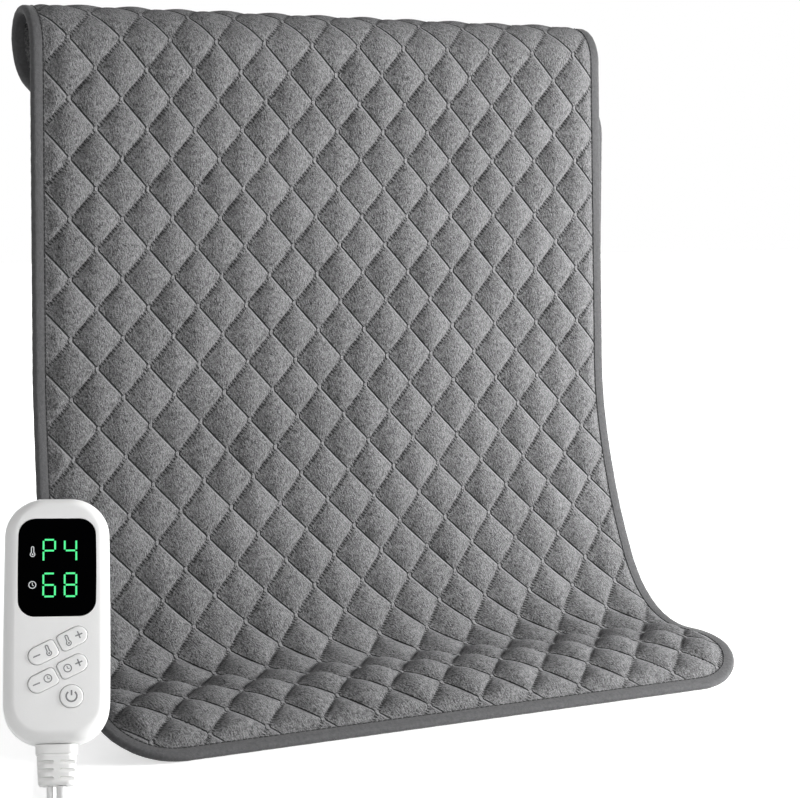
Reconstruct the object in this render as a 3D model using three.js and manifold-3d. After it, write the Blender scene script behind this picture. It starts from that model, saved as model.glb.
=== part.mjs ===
// Heating pad with hand controller, in millimetres.
// +Z is up, +Y goes back from the pad's front edge, +X to the right.
// The pad stands draped: a front lip on the floor, an upright panel, a loop over the top, a tail behind.
import * as THREE from 'three';
import Module from 'manifold-3d';

const wasm = await Module();
wasm.setup();

// Fit between neighbouring pieces.
const gap = 0.3;
const clearance = 0.35;

// Pad outline and the profile it drapes along, from the front edge.
const padWidth = 305;
const padLength = 610;
const cornerRadius = 30;
const bindingReach = 2.7;
const frontRise = 2.3;
const frontSetback = 6;
const lipHeadings = [
  [0, 30],
  [11.5, 33],
  [24.75, 26.3],
  [38, 7.9],
  [51.25, -2.4],
  [64.5, 19.9],
  [77.75, 45.8],
  [91, 66.8],
  [104.25, 81.1],
  [120, 84],
  [136, 87.9],
];
const panelLength = 216.8;
const loopTurn = 240;
const loopRadius = 18.5;
const loopReturn = 10.3;
const tailRadius = 16;
const frontTwist = 7.6;
const frontShift = 14.6;
const frontFlare = 0.068;
const twistLength = 191.6;
const tailShift = 6.5;
const sideDraw = 3.6;
const sideDrawFrom = 45;
const sideDrawSpan = 65;
const sideSag = 2;

// Quilting and layers; heights are measured from the stitch level of the front cover.
const quiltColumns = 12;
const columnPitch = 24.5;
const rowPitch = 13.25;
const firstRow = 11.5;
const rowCount = 45;
const crownHeight = 2.6;
const rimSlope = 0.06;
const coverThickness = 0.4;
const battingThickness = 0.7;
const wireDiameter = 1.1;
const carrierThickness = 0.6;
const backThickness = 0.6;
const layerGap = 0.25;
const bindingThickness = 0.6;
const bindingOverlap = 3.5;
const wireReturnInset = 8.5;
const wireTurnGap = 5.75;

// Controller; its own frame starts at the foot of the strain relief, Y up the body, Z out of the face.
const controllerFoot = [-195.6, -56, 17];
const controllerYaw = 20.4;
const controllerTilt = 24;
const controllerRoll = 1.2;
const bodyWidth = 38.8;
const bodyLength = 93.1;
const bodyCorner = 14.5;
const bodyBulge = 0.02;
const frontDepth = 9.2;
const rearDepth = 8.8;
const wall = 1.8;
const faceThickness = 1.9;
const windowWidth = 28.4;
const windowLength = 37.6;
const windowCorner = 6;
const windowRise = 18.9;
const windowFlange = 0.8;
const buttonTilt = 26.5;
const pillLength = 11.1;
const pillWidth = 6.7;
const powerRadius = 4.25;
const buttonProud = 0.5;
const buttonFlange = 0.5;
const flangeThickness = 1.4;
const buttonTravel = 0.4;
const reliefLength = 15;
const reliefWidth = 15.4;
const reliefDepth = 9;
const reliefTaper = 0.89;
const boardThickness = 1.6;
const boardCorner = 11;
const boardSideGap = 1.1;
const boardFootGap = 2.25;
const boardTopGap = 2.35;
const switchSize = 6;
const switchHeight = 2.9;
const screwRadius = 0.85;
const headRadius = 1.9;

// Cords; each free length is wound in a tied coil on the floor.
const leadDiameter = 2.4;
const leadOffset = -2.4;
const leadBend = 8.64;
const mainsDiameter = 3.9;
const mainsOffset = 1.85;
const mainsBend = 16;
const lieMargin = 0.15;
const coilGap = 0.6;
const tieThickness = 0.6;
const tieWidth = 5;
const leadCoilCenter = [-55, 133.3];
const leadCoilTurns = 2.9375;
const leadCoilInner = 9;
const mainsCoilCenter = [-188.6, -130.1];
const mainsCoilTurns = 2.95164;
const mainsCoilInner = 17;
const bootLength = 22;
const bootOffset = -60;
const plugLength = 24;
const plugWidth = 22;
const plugHeight = 12;
const plugBoot = 20;
const bladeLength = 17;
const bladeWidth = 6.3;
const bladeThickness = 1.5;
const bladeSpacing = 12.7;

const radians = THREE.MathUtils.degToRad;
const smooth = (x) => THREE.MathUtils.smoothstep(x, 0, 1);
const vector = (x, y, z) => new THREE.Vector3(x, y, z);

// Closed surface from points and triangles, turned to face out.
function closedGeometry(points, triangles) {
  let volume = 0;
  const cross = new THREE.Vector3();
  triangles.forEach(([a, b, c]) => {
    volume += points[a].dot(cross.crossVectors(points[b], points[c]));
  });
  const faces = volume < 0 ? triangles.map(([a, b, c]) => [a, c, b]) : triangles;
  const geometry = new THREE.BufferGeometry();
  geometry.setAttribute('position', new THREE.Float32BufferAttribute(points.flatMap((p) => [p.x, p.y, p.z]), 3));
  geometry.setIndex(faces.flat());
  return geometry;
}

// Skin through rings of equal length, capped at both ends or closed into a loop.
function loft(rings, closed = false) {
  const count = rings[0].length;
  const triangles = [];
  const spans = closed ? rings.length : rings.length - 1;
  for (let k = 0; k < spans; k += 1) {
    const near = k * count;
    const far = ((k + 1) % rings.length) * count;
    for (let i = 0; i < count; i += 1) {
      const j = (i + 1) % count;
      triangles.push([near + i, near + j, far + j], [near + i, far + j, far + i]);
    }
  }
  if (!closed) {
    const last = (rings.length - 1) * count;
    for (let i = 1; i < count - 1; i += 1) {
      triangles.push([0, i + 1, i], [last, last + i, last + i + 1]);
    }
  }
  return closedGeometry(rings.flat(), triangles);
}

// Solids for joining and cutting.
function solid(geometry) {
  const keys = new Map();
  const points = [];
  const source = geometry.getAttribute('position');
  const index = geometry.index ? Array.from(geometry.index.array) : [...Array(source.count).keys()];
  const remap = index.map((i) => {
    const key = [source.getX(i), source.getY(i), source.getZ(i)].map((v) => Math.round(v * 1e4)).join();
    if (!keys.has(key)) {
      keys.set(key, points.length / 3);
      points.push(source.getX(i), source.getY(i), source.getZ(i));
    }
    return keys.get(key);
  });
  const faces = [];
  for (let i = 0; i < remap.length; i += 3) {
    const [a, b, c] = remap.slice(i, i + 3);
    if (a !== b && b !== c && c !== a) {
      faces.push(a, b, c);
    }
  }
  return new wasm.Manifold(new wasm.Mesh({
    numProp: 3,
    vertProperties: new Float32Array(points),
    triVerts: new Uint32Array(faces),
  }));
}

function surface(body) {
  const mesh = body.getMesh();
  const geometry = new THREE.BufferGeometry();
  geometry.setAttribute('position', new THREE.Float32BufferAttribute(Array.from(mesh.vertProperties), 3));
  geometry.setIndex(Array.from(mesh.triVerts));
  return geometry;
}

const joined = (first, ...rest) => surface(rest.reduce((body, tool) => body.add(solid(tool)), solid(first)));
const cut = (first, ...tools) => surface(tools.reduce((body, tool) => body.subtract(solid(tool)), solid(first)));

// Box between two corners, and an upright rod in the controller's frame.
function block(low, high) {
  const size = high.map((v, i) => v - low[i]);
  return new THREE.BoxGeometry(...size).translate(...low.map((v, i) => v + size[i] / 2));
}

function rod(x, y, radius, low, high, sides = 16) {
  return new THREE.CylinderGeometry(radius, radius, high - low, sides)
    .rotateX(Math.PI / 2)
    .translate(x, y, (low + high) / 2);
}

// Flat outlines as lists of [x, y], counter-clockwise.
function arcPoints(cx, cy, radius, from, to, steps) {
  return Array.from({ length: steps + 1 }, (_, k) => {
    const a = radians(from + (to - from) * k / steps);
    return [cx + radius * Math.cos(a), cy + radius * Math.sin(a)];
  });
}

function roundedOutline(width, height, corner, steps, bulge = 0) {
  const x = width / 2 - corner;
  const y = height / 2 - corner;
  const outline = [
    ...arcPoints(x, y, corner, 0, 90, steps),
    ...arcPoints(-x, y, corner, 90, 180, steps),
    [-width / 2, 0],
    ...arcPoints(-x, -y, corner, 180, 270, steps),
    ...arcPoints(x, -y, corner, 270, 360, steps),
    [width / 2, 0],
  ];
  return outline.map(([px, py]) => [px * (1 + bulge * (1 - (2 * py / height) ** 2)), py]);
}

const ringAt = (outline, z, cx = 0, cy = 0) => outline.map(([x, y]) => vector(x + cx, y + cy, z));

// Profile of the draped pad: position and heading at a distance from the front edge.
const bend = (radius, turn) => ({ length: radius * radians(Math.abs(turn)), turn });
const total = (runs) => runs.reduce((sum, run) => sum + run.length, 0);
const lipRuns = lipHeadings.slice(1).map(([end, heading], i) => ({
  length: end - lipHeadings[i][0],
  turn: heading - lipHeadings[i][1],
}));
const panelHeading = lipHeadings[lipHeadings.length - 1][1];
const drapedRuns = [
  ...lipRuns,
  { length: panelLength, turn: 0 },
  bend(loopRadius, -loopTurn),
  { length: loopReturn, turn: 0 },
  bend(tailRadius, loopTurn - 90 - panelHeading),
];
const profileRuns = [...drapedRuns, { length: padLength - total(drapedRuns), turn: 0 }];
const panelStart = firstRow + twistLength;
const loopStart = total(lipRuns) + panelLength;

function profileAt(distance) {
  let y = -frontSetback;
  let z = frontRise;
  let heading = radians(lipHeadings[0][1]);
  let left = distance;
  profileRuns.forEach((run, i) => {
    const last = i === profileRuns.length - 1;
    const part = last ? left : Math.min(left, run.length);
    const half = radians(run.turn) * part / run.length / 2;
    const chord = half === 0 ? part : part * Math.sin(half) / half;
    y += chord * Math.cos(heading + half);
    z += chord * Math.sin(heading + half);
    heading += 2 * half;
    left -= part;
  });
  return { y, z, heading };
}

// A point of the pad: across it, along it, and out of its front cover.
// The front is twisted and moved aside; towards the top, the left side is drawn in and hangs lower.
function drapedPoint(across, along, out) {
  const p = profileAt(along);
  const front = 1 - smooth((along - firstRow) / twistLength);
  const twist = front * frontTwist * across / (padWidth / 2);
  const skew = front * (frontShift + frontFlare * across);
  const shift = tailShift * smooth((along - loopStart) / (padLength * 0.17));
  const lean = THREE.MathUtils.clamp((along - panelStart) / (loopStart - panelStart), 0, 1);
  const draw = lean * sideDraw * smooth((-across - sideDrawFrom) / sideDrawSpan);
  const sag = lean * sideSag * (0.5 - across / padWidth);
  return vector(
    across + skew + shift + draw,
    p.y - twist - out * Math.sin(p.heading),
    p.z - sag + out * Math.cos(p.heading),
  );
}

const rowAt = (k) => firstRow + k * rowPitch;
const layerStart = bindingReach;
const layerEnd = padLength - bindingReach;
const stations = [layerStart, ...Array.from({ length: rowCount }, (_, k) => rowAt(k)), layerEnd];

// Between stations the layers run straight, so that they lie against each other.
function padPoint(across, along, out) {
  if (along <= stations[0] || along >= stations[stations.length - 1]) {
    return drapedPoint(across, along, out);
  }
  const k = stations.findIndex((s) => s > along) - 1;
  const share = (along - stations[k]) / (stations[k + 1] - stations[k]);
  return drapedPoint(across, stations[k], out).lerp(drapedPoint(across, stations[k + 1], out), share);
}

function halfWidth(along) {
  const radius = cornerRadius - bindingReach;
  const reach = Math.max(0, radius - Math.min(along - layerStart, layerEnd - along));
  return padWidth / 2 - bindingReach - radius + Math.sqrt(Math.max(0, radius ** 2 - reach ** 2));
}

// Height of the cover's outermost crowns, flat in the corners where the binding turns.
function rimCrown(across, along) {
  const fromSide = padWidth / 2 - bindingReach - Math.abs(across);
  const fromEnd = Math.min(along - layerStart, layerEnd - along);
  const inCorner = Math.max(fromSide, fromEnd) < cornerRadius;
  return inCorner ? 0 : rimSlope * Math.min(fromSide, fromEnd);
}

// The plain layers need no stations inside the spans where the pad lies flat.
const flatSpans = [
  [panelStart, loopStart],
  [total(drapedRuns), padLength - cornerRadius],
];
const layerStations = stations.filter((s) =>
  !flatSpans.some(([from, to]) => s - rowPitch > from && s + rowPitch < to));

// Lengthwise strips of every smooth face; all are split along the same diagonal and so stay parallel.
const strips = [-1, -0.5, 0, 0.5, 1];
const splitQuad = (a, b, c, d) => [[a, b, d], [b, c, d]];

// Plain layer between two heights.
function padLayer(low, high) {
  const points = [];
  const triangles = [];
  const last = strips.length - 1;
  const row = (s, height) => strips.map((share) => points.push(padPoint(share * halfWidth(s), s, height)) - 1);
  const rows = layerStations.map((s) => ({ top: row(s, high), under: row(s, low) }));
  const turned = (faces) => faces.map(([a, b, c]) => [a, c, b]);
  rows.slice(1).forEach((far, k) => {
    const near = rows[k];
    for (let i = 0; i < last; i += 1) {
      triangles.push(...splitQuad(near.top[i], near.top[i + 1], far.top[i + 1], far.top[i]));
      triangles.push(...turned(splitQuad(near.under[i], near.under[i + 1], far.under[i + 1], far.under[i])));
    }
    triangles.push(...splitQuad(near.top[0], far.top[0], far.under[0], near.under[0]));
    triangles.push(...turned(splitQuad(near.top[last], far.top[last], far.under[last], near.under[last])));
  });
  const end = ({ top, under }) => strips.slice(1).flatMap((_, i) =>
    splitQuad(top[i], under[i], under[i + 1], top[i + 1]));
  triangles.push(...end(rows[0]), ...turned(end(rows[rows.length - 1])));
  return closedGeometry(points, triangles);
}

// Quilted cover: diamonds crowned in the middle, stitched down along their edges.
function quiltedCover() {
  const points = [];
  const triangles = [];
  const columns = 2 * quiltColumns;
  const add = (across, along, out) => points.push(padPoint(across, along, out)) - 1;
  const stitched = (k, c) => (c - quiltColumns + k) % 2 !== 0;
  const tops = Array.from({ length: rowCount }, (_, k) => {
    const s = rowAt(k);
    const w = halfWidth(s);
    const edgeRow = k === 0 || k === rowCount - 1;
    return Array.from({ length: columns + 1 }, (_, c) => {
      const rim = c === 0 || c === columns;
      const nearRim = edgeRow || c === 1 || c === columns - 1;
      const reach = rim ? w : w - bindingOverlap - gap;
      const place = rim ? Math.sign(c - quiltColumns) * w : (c - quiltColumns) * columnPitch / 2;
      const across = THREE.MathUtils.clamp(place, -reach, reach);
      const raised = nearRim ? rimCrown(across, s) : crownHeight;
      return add(across, s, rim || stitched(k, c) ? 0 : raised);
    });
  });
  for (let k = 0; k < rowCount - 1; k += 1) {
    for (let c = 0; c < columns; c += 1) {
      const [a, b] = [tops[k][c], tops[k][c + 1]];
      const [d, e] = [tops[k + 1][c], tops[k + 1][c + 1]];
      if (stitched(k, c)) {
        triangles.push([a, b, e], [a, e, d]);
      } else {
        triangles.push([a, b, d], [b, e, d]);
      }
    }
  }
  const rims = stations.map((s, k) => {
    const w = halfWidth(s);
    const row = tops[k - 1];
    const left = row ? row[0] : add(-w, s, 0);
    const right = row ? row[columns] : add(w, s, 0);
    return [left, right, ...strips.map((share) => add(-share * w, s, -coverThickness))];
  });
  const fan = (edge, row, facing) => {
    const middle = quiltColumns;
    const faces = [[edge[0], edge[1], row[middle]]];
    for (let c = 0; c < columns; c += 1) {
      faces.push([c < middle ? edge[0] : edge[1], row[c + 1], row[c]]);
    }
    triangles.push(...faces.map(([a, b, c]) => (facing ? [a, b, c] : [a, c, b])));
  };
  fan(rims[0], tops[0], true);
  fan(rims[rims.length - 1], tops[rowCount - 1], false);
  const [first, last] = [rims[0], rims[rims.length - 1]];
  for (let i = 1; i < first.length; i += 1) {
    const j = (i + 1) % first.length;
    for (let k = 0; k < rims.length - 1; k += 1) {
      triangles.push([rims[k][i], rims[k][j], rims[k + 1][j]], [rims[k][i], rims[k + 1][j], rims[k + 1][i]]);
    }
    if (j > 0) {
      triangles.push([first[0], first[j], first[i]], [last[0], last[i], last[j]]);
    }
  }
  return closedGeometry(points, triangles);
}

const battingTop = -coverThickness - layerGap;
const battingLow = battingTop - battingThickness;
const wireLevel = battingLow - layerGap - wireDiameter / 2;
const carrierTop = wireLevel - wireDiameter / 2 - layerGap;
const carrierLow = carrierTop - carrierThickness;
const backTop = carrierLow - layerGap;
const backLow = backTop - backThickness;

// Binding: a folded tape over the edges of all layers, flattened where it rests on the floor.
function edgeBinding() {
  const inFront = clearance;
  const behind = backLow - clearance;
  const thick = bindingThickness;
  const web = gap;
  const outer = bindingReach - gap;
  const section = [
    [-bindingOverlap, inFront],
    [web, inFront],
    [web, behind],
    [-bindingOverlap, behind],
    [-bindingOverlap, behind - thick],
    [outer - 0.9, behind - thick],
    [outer, (inFront + behind) / 2],
    [outer - 0.9, inFront + thick],
    [-bindingOverlap, inFront + thick],
  ];
  const side = (sign) => stations.map((s) => new THREE.Vector2(sign * halfWidth(s), s));
  const path = [...side(1), ...side(-1).reverse()];
  const normalOf = (a, b) => new THREE.Vector2(b.y - a.y, a.x - b.x).normalize();
  const rings = path.map((p, i) => {
    const before = normalOf(path[(i + path.length - 1) % path.length], p);
    const after = normalOf(p, path[(i + 1) % path.length]);
    const mitre = before.clone().add(after).divideScalar(1 + before.dot(after));
    return section.map(([out, height]) => padPoint(p.x + mitre.x * out, p.y + mitre.y * out, height));
  });
  const floorBlock = block([-padWidth, -padWidth, -20], [padWidth, padWidth, 0]);
  return cut(loft(rings, true), floorBlock);
}

// Tube through points with a flat underside, for whatever lies level.
function levelTube(points, radius, sides) {
  const rings = points.map((p, i) => {
    const before = points[Math.max(0, i - 1)];
    const after = points[Math.min(points.length - 1, i + 1)];
    const along = after.clone().sub(before).normalize();
    const across = vector(along.y, -along.x, 0).normalize();
    const up = new THREE.Vector3().crossVectors(across, along);
    return Array.from({ length: sides }, (_, k) => {
      const a = 2 * Math.PI * (k + 0.5) / sides - Math.PI / 2;
      return p.clone().addScaledVector(across, radius * Math.cos(a)).addScaledVector(up, radius * Math.sin(a));
    });
  });
  return loft(rings);
}

// Cord along hand-chosen points.
function cordTube(points, diameter, steps, sides = 8) {
  const section = new THREE.Shape(arcPoints(0, 0, diameter / 2, 0, 360 - 360 / sides, sides - 1)
    .map(([x, y]) => new THREE.Vector2(x, y)));
  const path = new THREE.CatmullRomCurve3(points, false, 'centripetal');
  return new THREE.ExtrudeGeometry(section, { steps, extrudePath: path });
}

// Heating wire: runs across the pad, joined by half turns, with a return along the left edge.
function heatingWire() {
  const run = (k) => rowAt(k);
  const path = [];
  const firstRun = 2;
  const lastRun = rowCount - 3;
  const returnAcross = -(padWidth / 2 - wireReturnInset);
  const runHalf = -returnAcross - wireTurnGap - rowPitch;
  path.push([bootOffset + 6, rowAt(rowCount - 1) + 6], [bootOffset + 6, rowAt(rowCount - 1)]);
  path.push([bootOffset + 18, rowAt(lastRun)]);
  for (let k = lastRun; k >= firstRun; k -= 2) {
    const even = ((lastRun - k) / 2) % 2 === 0;
    const sign = even ? 1 : -1;
    path.push([sign * runHalf, run(k)]);
    if (k > firstRun) {
      [45, 90, 135, 180].forEach((a) => {
        path.push([
          sign * (runHalf + rowPitch * Math.sin(radians(a))),
          run(k) - rowPitch * (1 - Math.cos(radians(a))),
        ]);
      });
    }
  }
  const endSign = ((lastRun - firstRun) / 2) % 2 === 0 ? 1 : -1;
  path.push([endSign * runHalf, run(firstRun) - rowPitch / 2]);
  path.push([-endSign * runHalf, run(firstRun) - rowPitch / 2]);
  for (let k = firstRun; k < rowCount - 2; k += 1) {
    path.push([returnAcross, rowAt(k)]);
  }
  path.push([returnAcross + 14, rowAt(rowCount - 2)]);
  path.push([bootOffset - 6, rowAt(rowCount - 1)], [bootOffset - 6, rowAt(rowCount - 1) + 6]);
  const points = path.map(([across, along]) => padPoint(across, along, wireLevel));
  const normals = path.map(([across, along]) =>
    padPoint(across, along, wireLevel + 1).sub(padPoint(across, along, wireLevel)).normalize());
  const sides = 4;
  const rings = points.map((p, i) => {
    const before = points[Math.max(0, i - 1)];
    const after = points[Math.min(points.length - 1, i + 1)];
    const along = after.clone().sub(before).normalize();
    const across = new THREE.Vector3().crossVectors(along, normals[i]).normalize();
    return Array.from({ length: sides }, (_, k) => {
      const a = 2 * Math.PI * k / sides;
      return p.clone()
        .addScaledVector(across, wireDiameter / 2 * Math.cos(a))
        .addScaledVector(normals[i], wireDiameter / 2 * Math.sin(a));
    });
  });
  return loft(rings);
}

// Small block that lies between the layers, beside a wire run.
function thermalCutout() {
  const [along, across] = [rowAt(11), 40];
  const [halfAlong, halfAcross, halfThick] = [2.6, 6, wireDiameter / 2];
  const ring = (s) => [[-1, 1], [1, 1], [1, -1], [-1, -1]].map(([i, j]) =>
    padPoint(across + i * halfAcross, s, wireLevel + j * halfThick));
  return loft([ring(along - halfAlong), ring(along), ring(along + halfAlong)]);
}

// Moulded boot on the edge of the pad's tail, where the lead enters.
const bootTop = padLength + gap;
const bootMiddle = (clearance + backLow - clearance) / 2;
function inletBoot() {
  const rings = [[0, 7, 2.9], [5, 7, 2.9], [8, 4.5, 2.6], [bootLength, 2.3, 2.1]].map(([down, wide, thick]) =>
    arcPoints(0, 0, 1, 0, 337.5, 15).map(([x, y]) =>
      drapedPoint(bootOffset + x * wide, bootTop + down, bootMiddle + y * thick)));
  return loft(rings);
}

// Shells of the controller, lofted through insets of one outline.
const bodyMiddle = reliefLength + bodyLength / 2;
const bodyRing = (z, inset) => ringAt(
  roundedOutline(bodyWidth - 2 * inset, bodyLength - 2 * inset, bodyCorner - inset, 6, bodyBulge), z, 0, bodyMiddle);
const innerFace = frontDepth - faceThickness;
const innerFloor = -(rearDepth - wall);
const boardLow = -boardThickness;
const windowMiddle = bodyMiddle + windowRise;
const screwSpots = [[-14.2, -2.6], [14.2, -2.6], [-10.5, -38], [10.5, -38]];

// Pill outline: round at the outer end, tighter corners at the end that faces its partner.
function pillOutline(outward, spread) {
  const half = pillLength / 2 + spread;
  const round = pillWidth / 2 + spread;
  const tight = pillWidth / 4 + spread;
  const outline = [
    ...arcPoints(half - round, 0, round, -90, 90, 10),
    ...arcPoints(-half + tight, round - tight, tight, 90, 180, 4),
    ...arcPoints(-half + tight, tight - round, tight, 180, 270, 4),
  ];
  const a = radians(buttonTilt) + (outward > 0 ? 0 : Math.PI);
  return outline.map(([x, y]) => [x * Math.cos(a) - y * Math.sin(a), x * Math.sin(a) + y * Math.cos(a)]);
}

const powerOutline = (spread) => arcPoints(0, 0, powerRadius + spread, 0, 345, 23);
const buttons = [
  { name: 'temp_down', spot: [-5.15, -13.8], outline: (spread) => pillOutline(-1, spread) },
  { name: 'temp_up', spot: [5.9, -8.2], outline: (spread) => pillOutline(1, spread) },
  { name: 'time_down', spot: [-5.15, -24.3], outline: (spread) => pillOutline(-1, spread) },
  { name: 'time_up', spot: [5.9, -18.7], outline: (spread) => pillOutline(1, spread) },
  { name: 'power', spot: [5.4, -30.1], outline: powerOutline },
];
const spotOf = ({ spot }) => [spot[0], spot[1] + bodyMiddle];

// Neck of the strain relief, and the notch it needs in each shell.
const neckWidth = 11;
const neckDepth = 6;
const neckFlange = 1.6;
const neckNotch = block(
  [-neckWidth / 2 - gap, reliefLength - 1, -neckDepth / 2 - gap],
  [neckWidth / 2 + gap, reliefLength + wall + 4, neckDepth / 2 + gap],
);

function frontShell() {
  const outer = loft([
    bodyRing(0, 0),
    bodyRing(5.2, 0),
    bodyRing(7.4, 0.9),
    bodyRing(8.7, 2.4),
    bodyRing(frontDepth, 4.4),
  ]);
  const hollow = loft([bodyRing(-1, wall), bodyRing(4.8, wall), bodyRing(innerFace, 4.2)]);
  const bosses = screwSpots.map(([x, y]) => rod(x, y + bodyMiddle, 1.9, gap, innerFace + 0.6));
  const pilots = screwSpots.map(([x, y]) => rod(x, y + bodyMiddle, screwRadius + 0.2, -1, 5.6, 12));
  const windowHole = loft([innerFace - 1, frontDepth + 1].map((z) => ringAt(
    roundedOutline(windowWidth + 2 * gap, windowLength + 2 * gap, windowCorner + gap, 5, bodyBulge),
    z, 0, windowMiddle)));
  const buttonHoles = buttons.map((b) => loft([innerFace - 1, frontDepth + 1].map((z) =>
    ringAt(b.outline(gap), z, ...spotOf(b)))));
  const shell = cut(outer, hollow);
  return cut(joined(shell, ...bosses), ...pilots, windowHole, ...buttonHoles, neckNotch);
}

function rearShell() {
  const top = -gap;
  const outer = loft([
    bodyRing(-rearDepth, 5.2),
    bodyRing(-rearDepth + 0.5, 3.2),
    bodyRing(-rearDepth + 2.2, 1),
    bodyRing(-4.4, 0),
    bodyRing(top, 0),
  ]);
  const hollow = loft([bodyRing(innerFloor, 4), bodyRing(-4.2, wall), bodyRing(1, wall)]);
  const posts = screwSpots.map(([x, y]) => rod(x, y + bodyMiddle, 3, innerFloor - 0.4, boardLow - gap));
  const recesses = screwSpots.map(([x, y]) => rod(x, y + bodyMiddle, headRadius + gap, -rearDepth - 1, -6));
  const holes = screwSpots.map(([x, y]) => rod(x, y + bodyMiddle, screwRadius + gap, -7, 0, 12));
  const shell = cut(outer, hollow);
  return cut(joined(shell, ...posts), ...recesses, ...holes, neckNotch);
}

function caseScrew([x, y]) {
  const head = rod(x, y + bodyMiddle, headRadius, -8, -6 - gap);
  const shaft = rod(x, y + bodyMiddle, screwRadius, -6.6, 5.2, 12);
  return joined(head, shaft);
}

function displayWindow() {
  const pane = loft([innerFace - gap - 0.2, frontDepth - 0.05].map((z) => ringAt(
    roundedOutline(windowWidth, windowLength, windowCorner, 5, bodyBulge), z, 0, windowMiddle)));
  const half = windowWidth / 2 + windowFlange;
  const flange = block(
    [-half, windowMiddle - windowLength / 2 + 1, innerFace - gap - flangeThickness],
    [half, windowMiddle + windowLength / 2 - 5, innerFace - gap],
  );
  return joined(pane, flange);
}

function button(b) {
  const [x, y] = spotOf(b);
  const flangeTop = innerFace - gap;
  const flangeLow = flangeTop - flangeThickness;
  const crown = frontDepth + buttonProud;
  const cap = loft([
    ringAt(b.outline(buttonFlange), flangeLow, x, y),
    ringAt(b.outline(buttonFlange), flangeTop, x, y),
    ringAt(b.outline(0), flangeTop, x, y),
    ringAt(b.outline(0), crown - 0.4, x, y),
    ringAt(b.outline(-0.4), crown, x, y),
  ]);
  const stemLow = switchHeight + gap + buttonTravel + gap;
  return joined(cap, block([x - 1.3, y - 1.3, stemLow], [x + 1.3, y + 1.3, flangeLow + 0.2]));
}

function tactSwitch(b) {
  const [x, y] = spotOf(b);
  const half = switchSize / 2;
  const body = block([x - half, y - half, gap], [x + half, y + half, gap + 1.9]);
  return joined(body, rod(x, y, 1.6, gap + 1.8, switchHeight + gap - 0.2, 12));
}

// Board between the strain relief's flange and the far wall of the case.
function circuitBoard() {
  const foot = reliefLength + wall + gap + neckFlange + boardFootGap;
  const top = reliefLength + bodyLength - wall - boardTopGap;
  const outline = roundedOutline(bodyWidth - 2 * (wall + boardSideGap), top - foot, boardCorner, 3);
  const board = loft([boardLow, 0].map((z) => ringAt(outline, z, 0, (top + foot) / 2)));
  const holes = screwSpots.map(([x, y]) => rod(x, y + bodyMiddle, screwRadius + gap, -3, 1, 12));
  return cut(board, ...holes);
}

function strainRelief() {
  const outline = (scale) => roundedOutline(reliefWidth * scale, reliefDepth * scale, 3.4 * scale, 3);
  const ring = (y, scale) => outline(scale).map(([x, z]) => vector(x, y, -z));
  const collarFoot = reliefLength * 0.74;
  const body = loft([
    ring(0, reliefTaper - 0.03),
    ring(0.8, reliefTaper),
    ring(collarFoot - 0.5, 0.96),
    ring(collarFoot - 0.4, 0.9),
    ring(collarFoot + 0.4, 0.9),
    ring(collarFoot + 0.5, 1),
    ring(reliefLength - gap, 1),
  ]);
  const neck = block(
    [-neckWidth / 2, reliefLength - 1, -neckDepth / 2],
    [neckWidth / 2, reliefLength + wall + 1, neckDepth / 2],
  );
  const flange = block(
    [-neckWidth / 2 - 1.5, reliefLength + wall + gap, -neckDepth / 2 - 1.2],
    [neckWidth / 2 + 1.5, reliefLength + wall + gap + neckFlange, neckDepth / 2 + 1.2],
  );
  const slots = [2.2, 5.2, 8.2].flatMap((y) => [-1, 1].flatMap((sx) => [-1, 1].map((sz) => {
    const [x0, x1] = [sx * 0.9, sx * reliefWidth].sort((a, b) => a - b);
    const [z0, z1] = [sz * 2, sz * reliefDepth].sort((a, b) => a - b);
    return block([x0, y - 0.75, z0], [x1, y + 0.75, z1]);
  })));
  return cut(joined(body, neck, flange), ...slots);
}

// Short wires from the cords to the board.
function innerWire(x) {
  const y = reliefLength + wall + neckFlange + 2 * gap;
  return cordTube([
    vector(x, y, 1.6),
    vector(x, y + 1.6, 2.9),
    vector(x, y + 3.6, 3.1),
    vector(x, y + 5.2, 2.2),
    vector(x, y + 5.6, gap),
  ], 1.3, 8, 6);
}

// Coil: layers that wind in and out by turns, each climbing where the spiral reverses.
function coilPath({ center, diameter, inner, turns, layers, start, spin, perTurn }) {
  const pitch = diameter + coilGap;
  const outer = inner + pitch * turns;
  const steps = Math.round(turns * perTurn);
  const half = Math.round(perTurn / 2);
  const base = tieThickness + clearance + diameter / 2 * Math.cos(Math.PI / 6);
  const points = [];
  let angle = radians(start);
  const place = (radius, turned, height) => {
    const a = angle + spin * turned;
    points.push(vector(center[0] + radius * Math.cos(a), center[1] + radius * Math.sin(a), base + height));
  };
  for (let layer = 0; layer < layers; layer += 1) {
    const inward = layer % 2 === 0;
    const [from, to] = inward ? [outer, inner] : [inner, outer];
    for (let i = 0; i <= steps; i += 1) {
      const share = i / steps;
      place(from + (to - from) * share, 2 * Math.PI * turns * share, layer * pitch);
    }
    angle += spin * 2 * Math.PI * turns;
    if (layer < layers - 1) {
      for (let i = 1; i < half; i += 1) {
        const share = i / half;
        const dip = (inward ? -1 : 1) * pitch / 2 * Math.sin(Math.PI * share);
        place(to + dip, Math.PI * share, (layer + smooth(share)) * pitch);
      }
      angle += spin * Math.PI;
    }
  }
  const straightEnd = (end, next) => {
    const a = Math.atan2(end.y - center[1], end.x - center[0]);
    const away = vector(-Math.sin(a), Math.cos(a), 0);
    const back = Math.sign(away.dot(end.clone().sub(next)));
    return end.clone().addScaledVector(away, back * diameter);
  };
  points.unshift(straightEnd(points[0], points[1]));
  points.push(straightEnd(points[points.length - 1], points[points.length - 2]));
  return points;
}

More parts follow.
